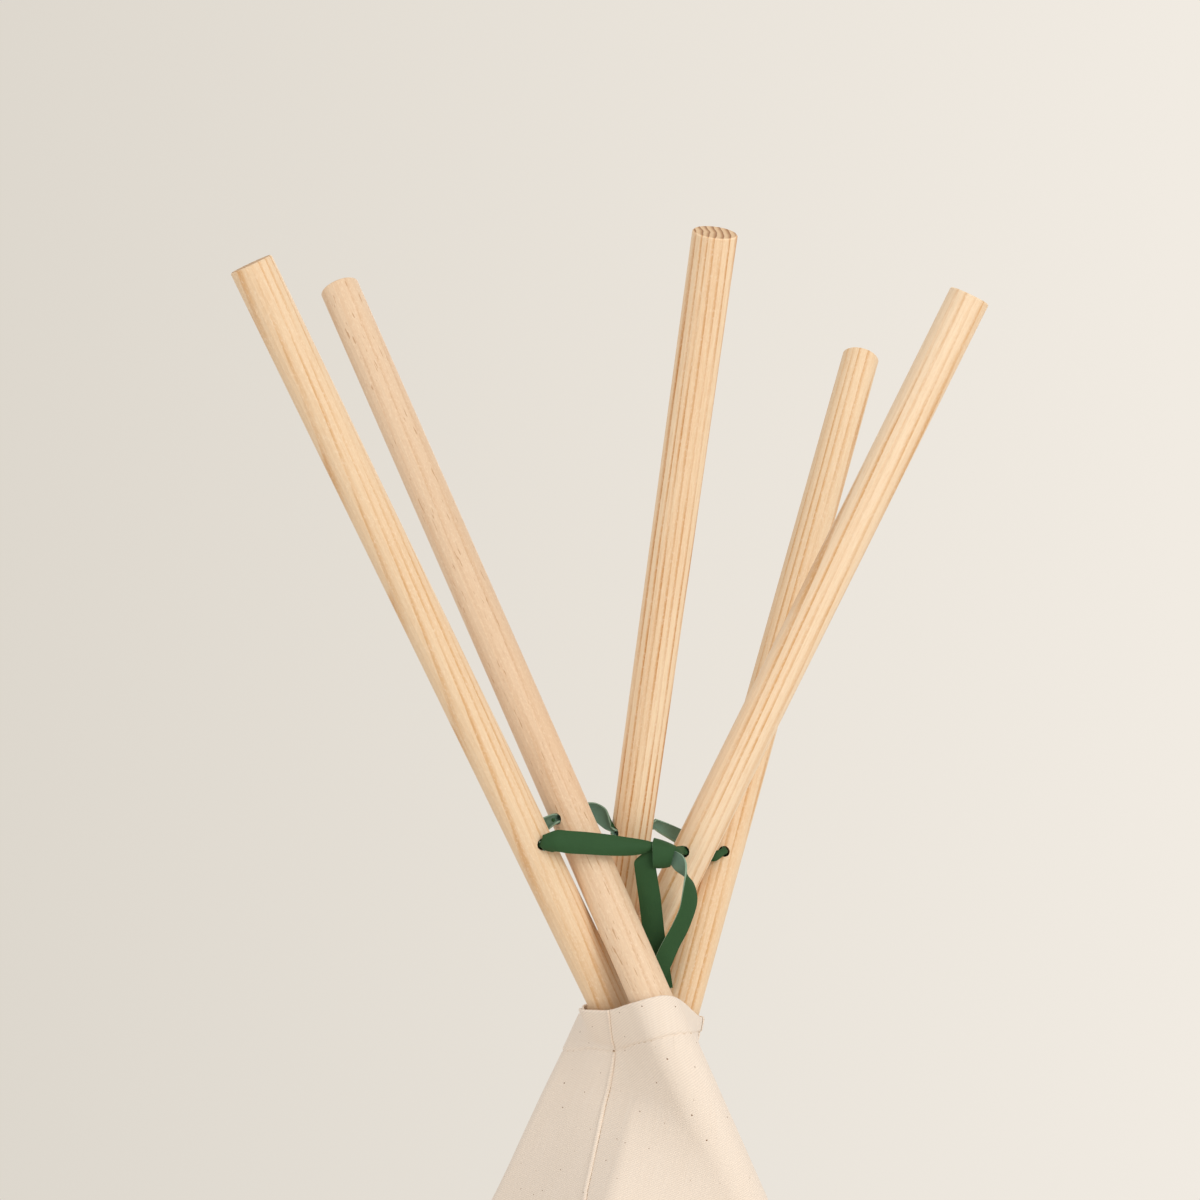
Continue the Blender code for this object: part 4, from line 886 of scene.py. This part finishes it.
def panel_point(table, column, row, first_half):
    """A panel's point, its distance from the seams' stitching and from the hems' stitching."""
    fold = row - len(ROW_LEVELS) - len(BAND_SHARES)
    level = ROW_LEVELS[row] if row < len(ROW_LEVELS) else None
    share = 0.0 if level is not None else (1.0 if fold >= 0 else BAND_SHARES[row - len(ROW_LEVELS)])
    fade = 1.0 if level is None else max(0.0, 1.0 - (BAND_LEVEL - level) / 0.140)
    base = BAND_LEVEL if level is None else level
    height = base
    plan, distance, total = read_table(table, column, height)
    for _ in range(3 if fade > 0.0 else 0):
        stitched = base + fade * rise_at(plan, STITCH_RISES)
        top = COLLAR_HEIGHT + rise_at(plan, EDGE_RISES)
        height = stitched + (top - BAND_LEVEL - rise_at(plan, STITCH_RISES) - 0.0) * 0.0
        if level is None:
            height = stitched + (top - stitched) * share
        plan, distance, total = read_table(table, column, height)
    away = (plan - poles_middle(height)).normalized()
    # The hem and the collar are double, so the outer layer steps out beyond their stitching
    out = 0.0
    if level is None:
        out = 0.0011 * eased(share / 0.09)
        stitch_away = (height - stitched) + 0.0
    else:
        stitch_away = (level - BAND_LEVEL) if level > 0.5 else (level - HEM_HEIGHT - 0.0175)
        if level < 0.5:
            out = 0.0006 * eased((0.0190 - (level - HEM_HEIGHT)) / 0.002)
    groove = math.exp(-(stitch_away / 0.0008) ** 2)
    pucker = math.exp(-(stitch_away / 0.004) ** 2) * 0.00022 * math.sin(distance / 0.0011 + 3.0 * height)
    out += creased(plan, height) * (1.0 - 0.6 * groove) - 0.00045 * groove + pucker
    # The felled seam stands up along the panel's first edge, wider lower down
    seam_width = 0.0017 + 0.0010 * eased((BAND_LEVEL + 0.016 - height) / 0.006) + 0.0018 * eased((1.085 - height) / 0.10)
    from_seam = distance if first_half else FAR
    if from_seam < seam_width:
        roll = math.sin(math.pi * from_seam / seam_width) ** 0.6
        out += bpy.context.scene.teepee_sizes.seam_height * roll * (0.75 if level is None else 1.0)
    seam_away = from_seam - seam_width - 0.0003
    out -= 0.0004 * math.exp(-(seam_away / 0.0006) ** 2)
    if fold >= 0:
        angle = math.radians(FOLD_OVER[fold])
        height += 0.00055 * math.sin(angle)
        out += 0.00055 * (math.cos(angle) - 1.0)
    spot = plan + away * out
    return Vector((spot.x, spot.y, height)), distance, seam_away, stitch_away, total


def half_panel(name, half):
    """Build one half of a panel, from its seam to its middle line, as open cloth."""
    table = half_panel_table(name, half)
    columns = HALF_COLUMNS + len(NEAR_SEAM)
    spots = {}
    for column in range(columns):
        for row in range(ROW_COUNT):
            spots[column, row] = panel_point(table, column, row, half == "first")
    lean = 1.0 / -POLES[PANELS[name][0]]["down"].z

    def weave(column, row):
        spot, distance, _, _, total = spots[column, row]
        return distance - total / 2, spot.z * lean

    def edges(column, row):
        return spots[column, row][2], spots[column, row][3]

    return bent_grid(columns, ROW_COUNT, lambda column, row: spots[column, row][0],
                     (("weave", weave), ("edges", edges)))


def front_surface(across, height):
    """Point of the front panel's outer face."""
    left = pole_at(4, height)
    right = pole_at(2, height)
    edge = right - left
    outward = Vector((edge.y, -edge.x)).normalized()
    share = (across - left.x) / edge.x
    sag = SAG_SHARE * edge.length * 4 * share * (1 - share)
    plan = left + edge * share + outward * (COVER_RADIUS + CANVAS / 2 - sag)
    return Vector((plan.x, plan.y, height))


def door_corners(side):
    """Apex, bottom middle and bottom side corner of one half of the doorway."""
    bottom = door_middle(HEM_HEIGHT)
    return (front_surface(door_middle(DOOR_HEIGHT), DOOR_HEIGHT), front_surface(bottom, HEM_HEIGHT),
            front_surface(bottom + side * DOOR_HALF_WIDTH, HEM_HEIGHT))


def cut_doorway(sheet, side):
    """Cut the doorway out of half the front panel, and mark the hem along the cut."""
    apex, _, corner = door_corners(side)
    across = (corner - apex).cross(Vector((0.0, 1.0, 0.0))).normalized()
    if across.x * side > 0.0:
        across = -across
    for set_back in (0.0165, 0.0155, 0.0145, 0.0):
        cut = apex - across * set_back
        parts = list(sheet.verts) + list(sheet.edges) + list(sheet.faces)
        bmesh.ops.bisect_plane(sheet, geom=parts, plane_co=cut, plane_no=across, dist=1e-6,
                               clear_outer=set_back == 0.0)
    layer = sheet.loops.layers.uv["edges"]
    for face in sheet.faces:
        if face.calc_center_median().z > DOOR_HEIGHT + 0.06:
            continue
        for loop in face.loops:
            from_cut = 0.0155 - (apex - loop.vert.co).dot(across)
            hem = loop[layer].uv.y
            if loop.vert.co.z < DOOR_HEIGHT + 0.05 and abs(from_cut) < abs(hem):
                loop[layer].uv.y = from_cut


def blend_ends(piece, name, pole):
    """Two points at the hem of half a panel, from near its middle line or beside the doorway's corner, towards its
    pole.
    """
    first, last = PANELS[name]
    if name == "front_panel":
        # On the front panel they start beside the doorway's corner and run square to its edge, towards the pole
        corner = door_corners(-1 if pole == first else 1)[2]
        top = front_surface(door_middle(COLLAR_HEIGHT), COLLAR_HEIGHT)
        down = (corner - top).normalized()
        to_pole = Vector((*pole_at(pole, HEM_HEIGHT), HEM_HEIGHT)) - corner
        strip = (to_pole - down * to_pole.dot(down)).normalized()
        return corner + strip * 0.002, corner + strip * 0.052
    chord = pole_at(last, HEM_HEIGHT) - pole_at(first, HEM_HEIGHT)
    way = chord.normalized() if pole == last else -chord.normalized()
    middle = pole_at(first, HEM_HEIGHT).lerp(pole_at(last, HEM_HEIGHT), 0.5)
    wraps = (pole == last) == (SEAM_SIDES[pole] == 1)
    reach = chord.length / 2 * (0.78 if wraps else 0.52)
    start = Vector((*(middle + way * 0.006), 0.0))
    return start, start + Vector((*(way * reach), 0.0))


# Operators

class PieceMaker:
    """What the operators share: how they appear in the search."""

    bl_options = {"REGISTER", "UNDO"}


class TEEPEE_OT_stage(PieceMaker, bpy.types.Operator):
    """Set the camera, the pale floor and backdrop, with painted shade across the backdrop, and the soft lamps"""

    bl_idname = "teepee.stage"
    bl_label = "Stage"

    def execute(self, context):
        scene = context.scene
        lens = bpy.data.cameras.new("photo_camera")
        lens.lens = 69.964
        lens.sensor_width = 36.0
        camera = bpy.data.objects.new("photo_camera", lens)
        scene.collection.objects.link(camera)
        right = Vector((0.9995, -0.00703, -0.03089))
        up = Vector((0.03073, -0.02179, 0.99929))
        turn = Matrix((right, up, right.cross(up))).transposed().to_4x4()
        camera.matrix_world = Matrix.Translation((0.0339, -1.6485, 1.3575)) @ turn
        scene.camera = camera
        scene.view_settings.view_transform = "Standard"
        wall = linear_colour(scene.teepee_colours.wall)
        ground = bmesh.new()
        bmesh.ops.create_circle(ground, cap_ends=True, segments=96, radius=scene.teepee_sizes.floor_size / 2)
        finish, tree, shader = new_finish("matt_pale_floor", 0.9)
        place = add_node(tree, "ShaderNodeTexCoord").outputs["Object"]
        mottle = add_node(tree, "ShaderNodeTexNoise", {"Vector": place, "Scale": 3.0, "Detail": 5.0})
        tone = add_node(tree, "ShaderNodeMix", {
            0: mottle.outputs["Fac"], 6: tuple(0.97 * part for part in wall[:3]) + (1.0,), 7: wall},
            data_type="RGBA")
        tree.links.new(tone.outputs[2], shader.inputs["Base Color"])
        floor = add_piece("floor", ground, (finish,))
        floor.location.z = -0.0002
        world = bpy.data.worlds.new("soft_room")
        world.use_nodes = True
        scene.world = world
        tree = world.node_tree
        tree.nodes.clear()
        rays = add_node(tree, "ShaderNodeLightPath")
        seen = add_node(tree, "ShaderNodeMath", {
            0: rays.outputs["Is Camera Ray"], 1: rays.outputs["Is Glossy Ray"]}, operation="MAXIMUM")
        shown = add_node(tree, "ShaderNodeMath", {
            0: seen.outputs[0], 1: rays.outputs["Is Transmission Ray"]}, operation="MAXIMUM")
        # The backdrop is painted darker towards -X, the left as the camera sees it: painted shade where less light
        # falls on the wall
        way = add_node(tree, "ShaderNodeTexCoord").outputs["Generated"]
        parts = add_node(tree, "ShaderNodeSeparateXYZ", {"Vector": way})
        side = add_node(tree, "ShaderNodeMapRange", {
            "Value": parts.outputs["X"], "From Min": -0.25, "From Max": 0.25})
        backdrop_with_painted_shade = add_node(tree, "ShaderNodeMix", {
            0: side.outputs["Result"], 6: linear_colour("DDD7CD"), 7: linear_colour("F1EBE2")}, data_type="RGBA")
        backdrop = add_node(tree, "ShaderNodeBackground", {"Color": backdrop_with_painted_shade.outputs[2], "Strength": 1.0})
        light = add_node(tree, "ShaderNodeBackground", {"Color": (1.0, 0.99, 0.98, 1.0), "Strength": 0.73})
        mixed = add_node(tree, "ShaderNodeMixShader", {
            0: shown.outputs[0], 1: light.outputs[0], 2: backdrop.outputs[0]})
        add_node(tree, "ShaderNodeOutputWorld", {"Surface": mixed.outputs[0]})
        lamps = (("window_lamp", (1.9, -3.1, 2.6), 2.0, 58.0), ("fill_lamp", (-2.4, -2.8, 1.8), 2.4, 14.0),
                 ("back_lamp", (0.6, 2.8, 2.6), 2.0, 18.0))
        for name, spot, size, power in lamps:
            lamp = bpy.data.lights.new(name, "AREA")
            lamp.size = size
            lamp.energy = power
            lamp.color = (1.0, 0.98, 0.95)
            holder = bpy.data.objects.new(name, lamp)
            scene.collection.objects.link(holder)
            aim = (Vector((0.05, -0.05, 1.1)) - Vector(spot)).to_track_quat("-Z", "Y").to_matrix().to_4x4()
            holder.matrix_world = Matrix.Translation(spot) @ aim
        return {"FINISHED"}


class TEEPEE_OT_strap_ends(PieceMaker, bpy.types.Operator):
    """Make the two hanging ends of the strap"""

    bl_idname = "teepee.strap_ends"
    bl_label = "Strap ends"

    def execute(self, context):
        for name, node, ends in (("strap_end_left", "tie_tail_left", LEFT_END),
                                 ("strap_end_right", "tie_tail_right", RIGHT_END)):
            read = read_between([station(*one) for one in ends], 5)
            sheet, middles = strap_sheet(read, 7)
            piece = add_piece(name, sheet, strap_finishes(), context.scene.teepee_sizes.strap_thickness)
            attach(piece, "cover")
            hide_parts(node)
            length = line_lengths(middles)[-1]
            tuple(middles[0])
            [tuple(point) for point in middles]
        return {"FINISHED"}


class TEEPEE_OT_strap_loop(PieceMaker, bpy.types.Operator):
    """Make the strap's loop through the five poles, and the wrap of its knot"""

    bl_idname = "teepee.strap_loop"
    bl_label = "Strap loop and knot"

    def execute(self, context):
        thickness = context.scene.teepee_sizes.strap_thickness
        loop, _ = strap_sheet(read_between(loop_stations(), 5), 9)
        wrap, _ = strap_sheet(read_between([station(*one) for one in WRAP], 5), 9)
        for name, node, sheet in (("strap_loop", "tie_strap", loop), ("strap_wrap", "tie_knot", wrap)):
            piece = add_piece(name, sheet, strap_finishes(), thickness)
            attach(piece, "cover")
            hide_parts(node)
        return {"FINISHED"}


class TEEPEE_OT_poles(PieceMaker, bpy.types.Operator):
    """Give the pole halves their pine and the ferrules their steel"""

    bl_idname = "teepee.poles"
    bl_label = "Poles and ferrules"

    def execute(self, context):
        for number in RING:
            pine = pine_finish(number)
            for part, finish in (("upper", pine), ("lower", pine),
                                 ("ferrule", finish_named("zinc_plated_steel", steel_finish))):
                node = frame["nodes"][f"pole_{number}_{part}"]
                for slot in node.material_slots:
                    slot.material = finish
        return {"FINISHED"}


class TEEPEE_OT_panels(PieceMaker, bpy.types.Operator):
    """Make the five canvas panels with their seams, hems and the collar's outer layer"""

    bl_idname = "teepee.panels"
    bl_label = "Canvas panels"

    def execute(self, context):
        finish = canvas_for("cotton_twill_canvas")
        for name, poles in PANELS.items():
            for half, pole in zip(("first", "last"), poles):
                sheet = half_panel(name, half)
                if name == "front_panel":
                    cut_doorway(sheet, -1.0 if half == "first" else 1.0)
                area = cloth_area(sheet)
                piece = add_piece(f"{name}_{half}_half", sheet, (finish,), CANVAS)
                start, end = blend_ends(piece, name, pole)
                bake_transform(piece)
                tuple(start)
                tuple(end)
                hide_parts(name)
        return {"FINISHED"}


class TEEPEE_OT_collar(PieceMaker, bpy.types.Operator):
    """Make the inner layer of the hemmed collar"""

    bl_idname = "teepee.collar"
    bl_label = "Collar facing"

    def execute(self, context):
        columns = 181
        rows = 9
        table = []
        heights = [1.06 + 0.004 * step for step in range(21)]
        for height in heights:
            line = []
            for name, (first, last) in PANELS.items():
                part = cloth_line(first, last, height, False)
                line += part[:-1] if line else part[:-1]
            line.append(line[0])
            lengths = line_lengths(line)
            distances = [lengths[-1] * step / (columns - 1) for step in range(columns)]
            table.append(read_line(line, lengths, distances))

        def read(column, height):
            at = min(len(heights) - 2, max(0, int((height - heights[0]) / 0.004)))
            share = (height - heights[at]) / 0.004
            return table[at][column].lerp(table[at + 1][column], share)

        spots = {}
        for column in range(columns):
            for row in range(rows):
                share = 1.0 - row / (rows - 1)
                height = COLLAR_HEIGHT
                plan = read(column, height)
                for _ in range(3):
                    low = BAND_LEVEL - 0.004 + rise_at(plan, STITCH_RISES)
                    high = COLLAR_HEIGHT + 0.0002 + rise_at(plan, EDGE_RISES)
                    height = high + (low - high) * share
                    plan = read(column, height)
                away = (plan - poles_middle(height)).normalized()
                plan = plan + away * (creased(plan, height) - 0.00008)
                spots[column, row] = Vector((*plan, height))
        sheet = bent_grid(columns, rows, lambda column, row: spots[column, row],
                          (("weave", lambda column, row: (0.0019 * column, spots[column, row].z)),
                           ("edges", lambda column, row: (FAR, spots[column, row].z - 1.06 + FAR))))
        bmesh.ops.remove_doubles(sheet, verts=sheet.verts, dist=0.00005)
        area = cloth_area(sheet)
        piece = add_piece("canvas_collar_facing", sheet, (canvas_for("cotton_twill_canvas"),), 0.0008)
        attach(piece, "cover")
        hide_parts("canvas_collar")
        return {"FINISHED"}


class TEEPEE_OT_sleeves(PieceMaker, bpy.types.Operator):
    """Make the strip of canvas sewn behind each pole"""

    bl_idname = "teepee.sleeves"
    bl_label = "Pole sleeves"

    def execute(self, context):
        finish = canvas_for("sleeve_canvas")
        for number in RING:
            node = frame["nodes"][f"pole_sleeve_{number}"]
            sheet = bmesh.new()
            sheet.from_mesh(node.data)
            bmesh.ops.remove_doubles(sheet, verts=sheet.verts, dist=0.00002)
            bmesh.ops.subdivide_edges(sheet, edges=[edge for edge in sheet.edges if edge.calc_length() > 0.03],
                                      cuts=3, use_grid_fill=True)
            turn = pole_frame(POLES[number]).to_3x3().transposed()
            weave = sheet.loops.layers.uv.new("weave")
            edges = sheet.loops.layers.uv.new("edges")
            for face in sheet.faces:
                for loop in face.loops:
                    spot = turn @ (loop.vert.co - POLES[number]["hole"])
                    loop[weave].uv = (0.02 * math.atan2(spot.y, -spot.x), spot.z)
                    loop[edges].uv = (FAR, min(abs(loop.vert.co.z - 0.036), abs(loop.vert.co.z - 0.894)))
            area = cloth_area(sheet) / 2
            piece = add_piece(f"sleeve_{number}", sheet, (finish,))
            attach(piece, f"pole_{number}")
            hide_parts(f"pole_sleeve_{number}")
        return {"FINISHED"}


class TEEPEE_OT_door_flaps(PieceMaker, bpy.types.Operator):
    """Make the two door flaps, folded back beside the doorway"""

    bl_idname = "teepee.door_flaps"
    bl_label = "Door flaps"

    def execute(self, context):
        columns, rows = 29, 73
        for name, side in (("left", -1.0), ("right", 1.0)):
            apex, middle, corner = door_corners(side)
            outward = (corner - apex).cross(middle - apex).normalized()
            if outward.y > 0.0:
                outward = -outward
            bulge = 0.0
            for step in range(1, 9):
                line = apex.lerp(corner, step / 9)
                bulge = max(bulge, (front_surface(line.x, line.z) - line).dot(outward))
            lift = outward * (0.0020 + bulge)
            apex, middle, corner = apex + lift, middle + lift, corner + lift
            down = (corner - apex).normalized()
            turn = math.radians(166.0)
            long_side = (corner - apex).length

            def flap_point(column, row):
                share = 1.0 - 0.95 * row / (rows - 1)
                across = column / (columns - 1)
                full = (middle - corner) * share
                flat = full.normalized() * ((full.length - 0.0020) * across)
                along = down * flat.dot(down)
                away = flat - along
                swung = away * math.cos(turn) + outward * (away.length * math.sin(turn))
                cup = 0.008 * share * math.sin(math.pi * across)
                spot = apex.lerp(corner, share) + along + swung
                swell = 0.0022 * across * share * noise.noise(spot * 14.0 + Vector((side, 0.0, 0.0)))
                return spot + outward * (cup + max(0.0, swell))

            def weave(column, row):
                share = 1.0 - 0.95 * row / (rows - 1)
                return column / (columns - 1) * share * DOOR_HALF_WIDTH, -share * long_side

            def edges(column, row):
                share = 1.0 - 0.95 * row / (rows - 1)
                free = (1.0 - column / (columns - 1)) * share * DOOR_HALF_WIDTH - 0.012
                bottom = (1.0 - share) * long_side - 0.016
                return FAR, free if abs(free) < abs(bottom) else bottom

            sheet = bent_grid(columns, rows, flap_point, (("weave", weave), ("edges", edges)))
            if side < 0.0:
                bmesh.ops.reverse_faces(sheet, faces=sheet.faces)
            area = cloth_area(sheet)
            piece = add_piece(f"flap_{name}_cloth", sheet, (canvas_for("cotton_twill_canvas"),), CANVAS)
            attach(piece, f"flap_{name}")
            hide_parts(f"door_flap_{name}")
        return {"FINISHED"}


class TEEPEE_PT_panel(bpy.types.Panel):
    """Lists the steps that dress the teepee"""

    bl_idname = "TEEPEE_PT_panel"
    bl_label = "Teepee"
    bl_space_type = "VIEW_3D"
    bl_region_type = "UI"
    bl_category = "Teepee"

    def draw(self, context):
        for step in STEPS:
            self.layout.operator(step.bl_idname)
        for group in (context.scene.teepee_sizes, context.scene.teepee_colours):
            for name in group.__annotations__:
                self.layout.prop(group, name)


STEPS = (
    TEEPEE_OT_stage,
    TEEPEE_OT_strap_ends,
    TEEPEE_OT_strap_loop,
    TEEPEE_OT_poles,
    TEEPEE_OT_panels,
    TEEPEE_OT_collar,
    TEEPEE_OT_sleeves,
    TEEPEE_OT_door_flaps,
)
GROUPS = (TeepeeSizes, TeepeeColours)


def register():
    for group in GROUPS + STEPS + (TEEPEE_PT_panel,):
        bpy.utils.register_class(group)
    bpy.types.Scene.teepee_sizes = bpy.props.PointerProperty(type=TeepeeSizes)
    bpy.types.Scene.teepee_colours = bpy.props.PointerProperty(type=TeepeeColours)


def unregister():
    del bpy.types.Scene.teepee_colours
    del bpy.types.Scene.teepee_sizes
    for group in reversed(GROUPS + STEPS + (TEEPEE_PT_panel,)):
        bpy.utils.unregister_class(group)


def main():
    """Dress the teepee step by step."""
    register()
    bpy.ops.teepee.stage()
    bpy.ops.teepee.strap_ends()
    bpy.ops.teepee.strap_loop()
    bpy.ops.teepee.poles()
    bpy.ops.teepee.panels()
    bpy.ops.teepee.collar()
    bpy.ops.teepee.sleeves()
    bpy.ops.teepee.door_flaps()


if __name__ == "__main__":
    main()
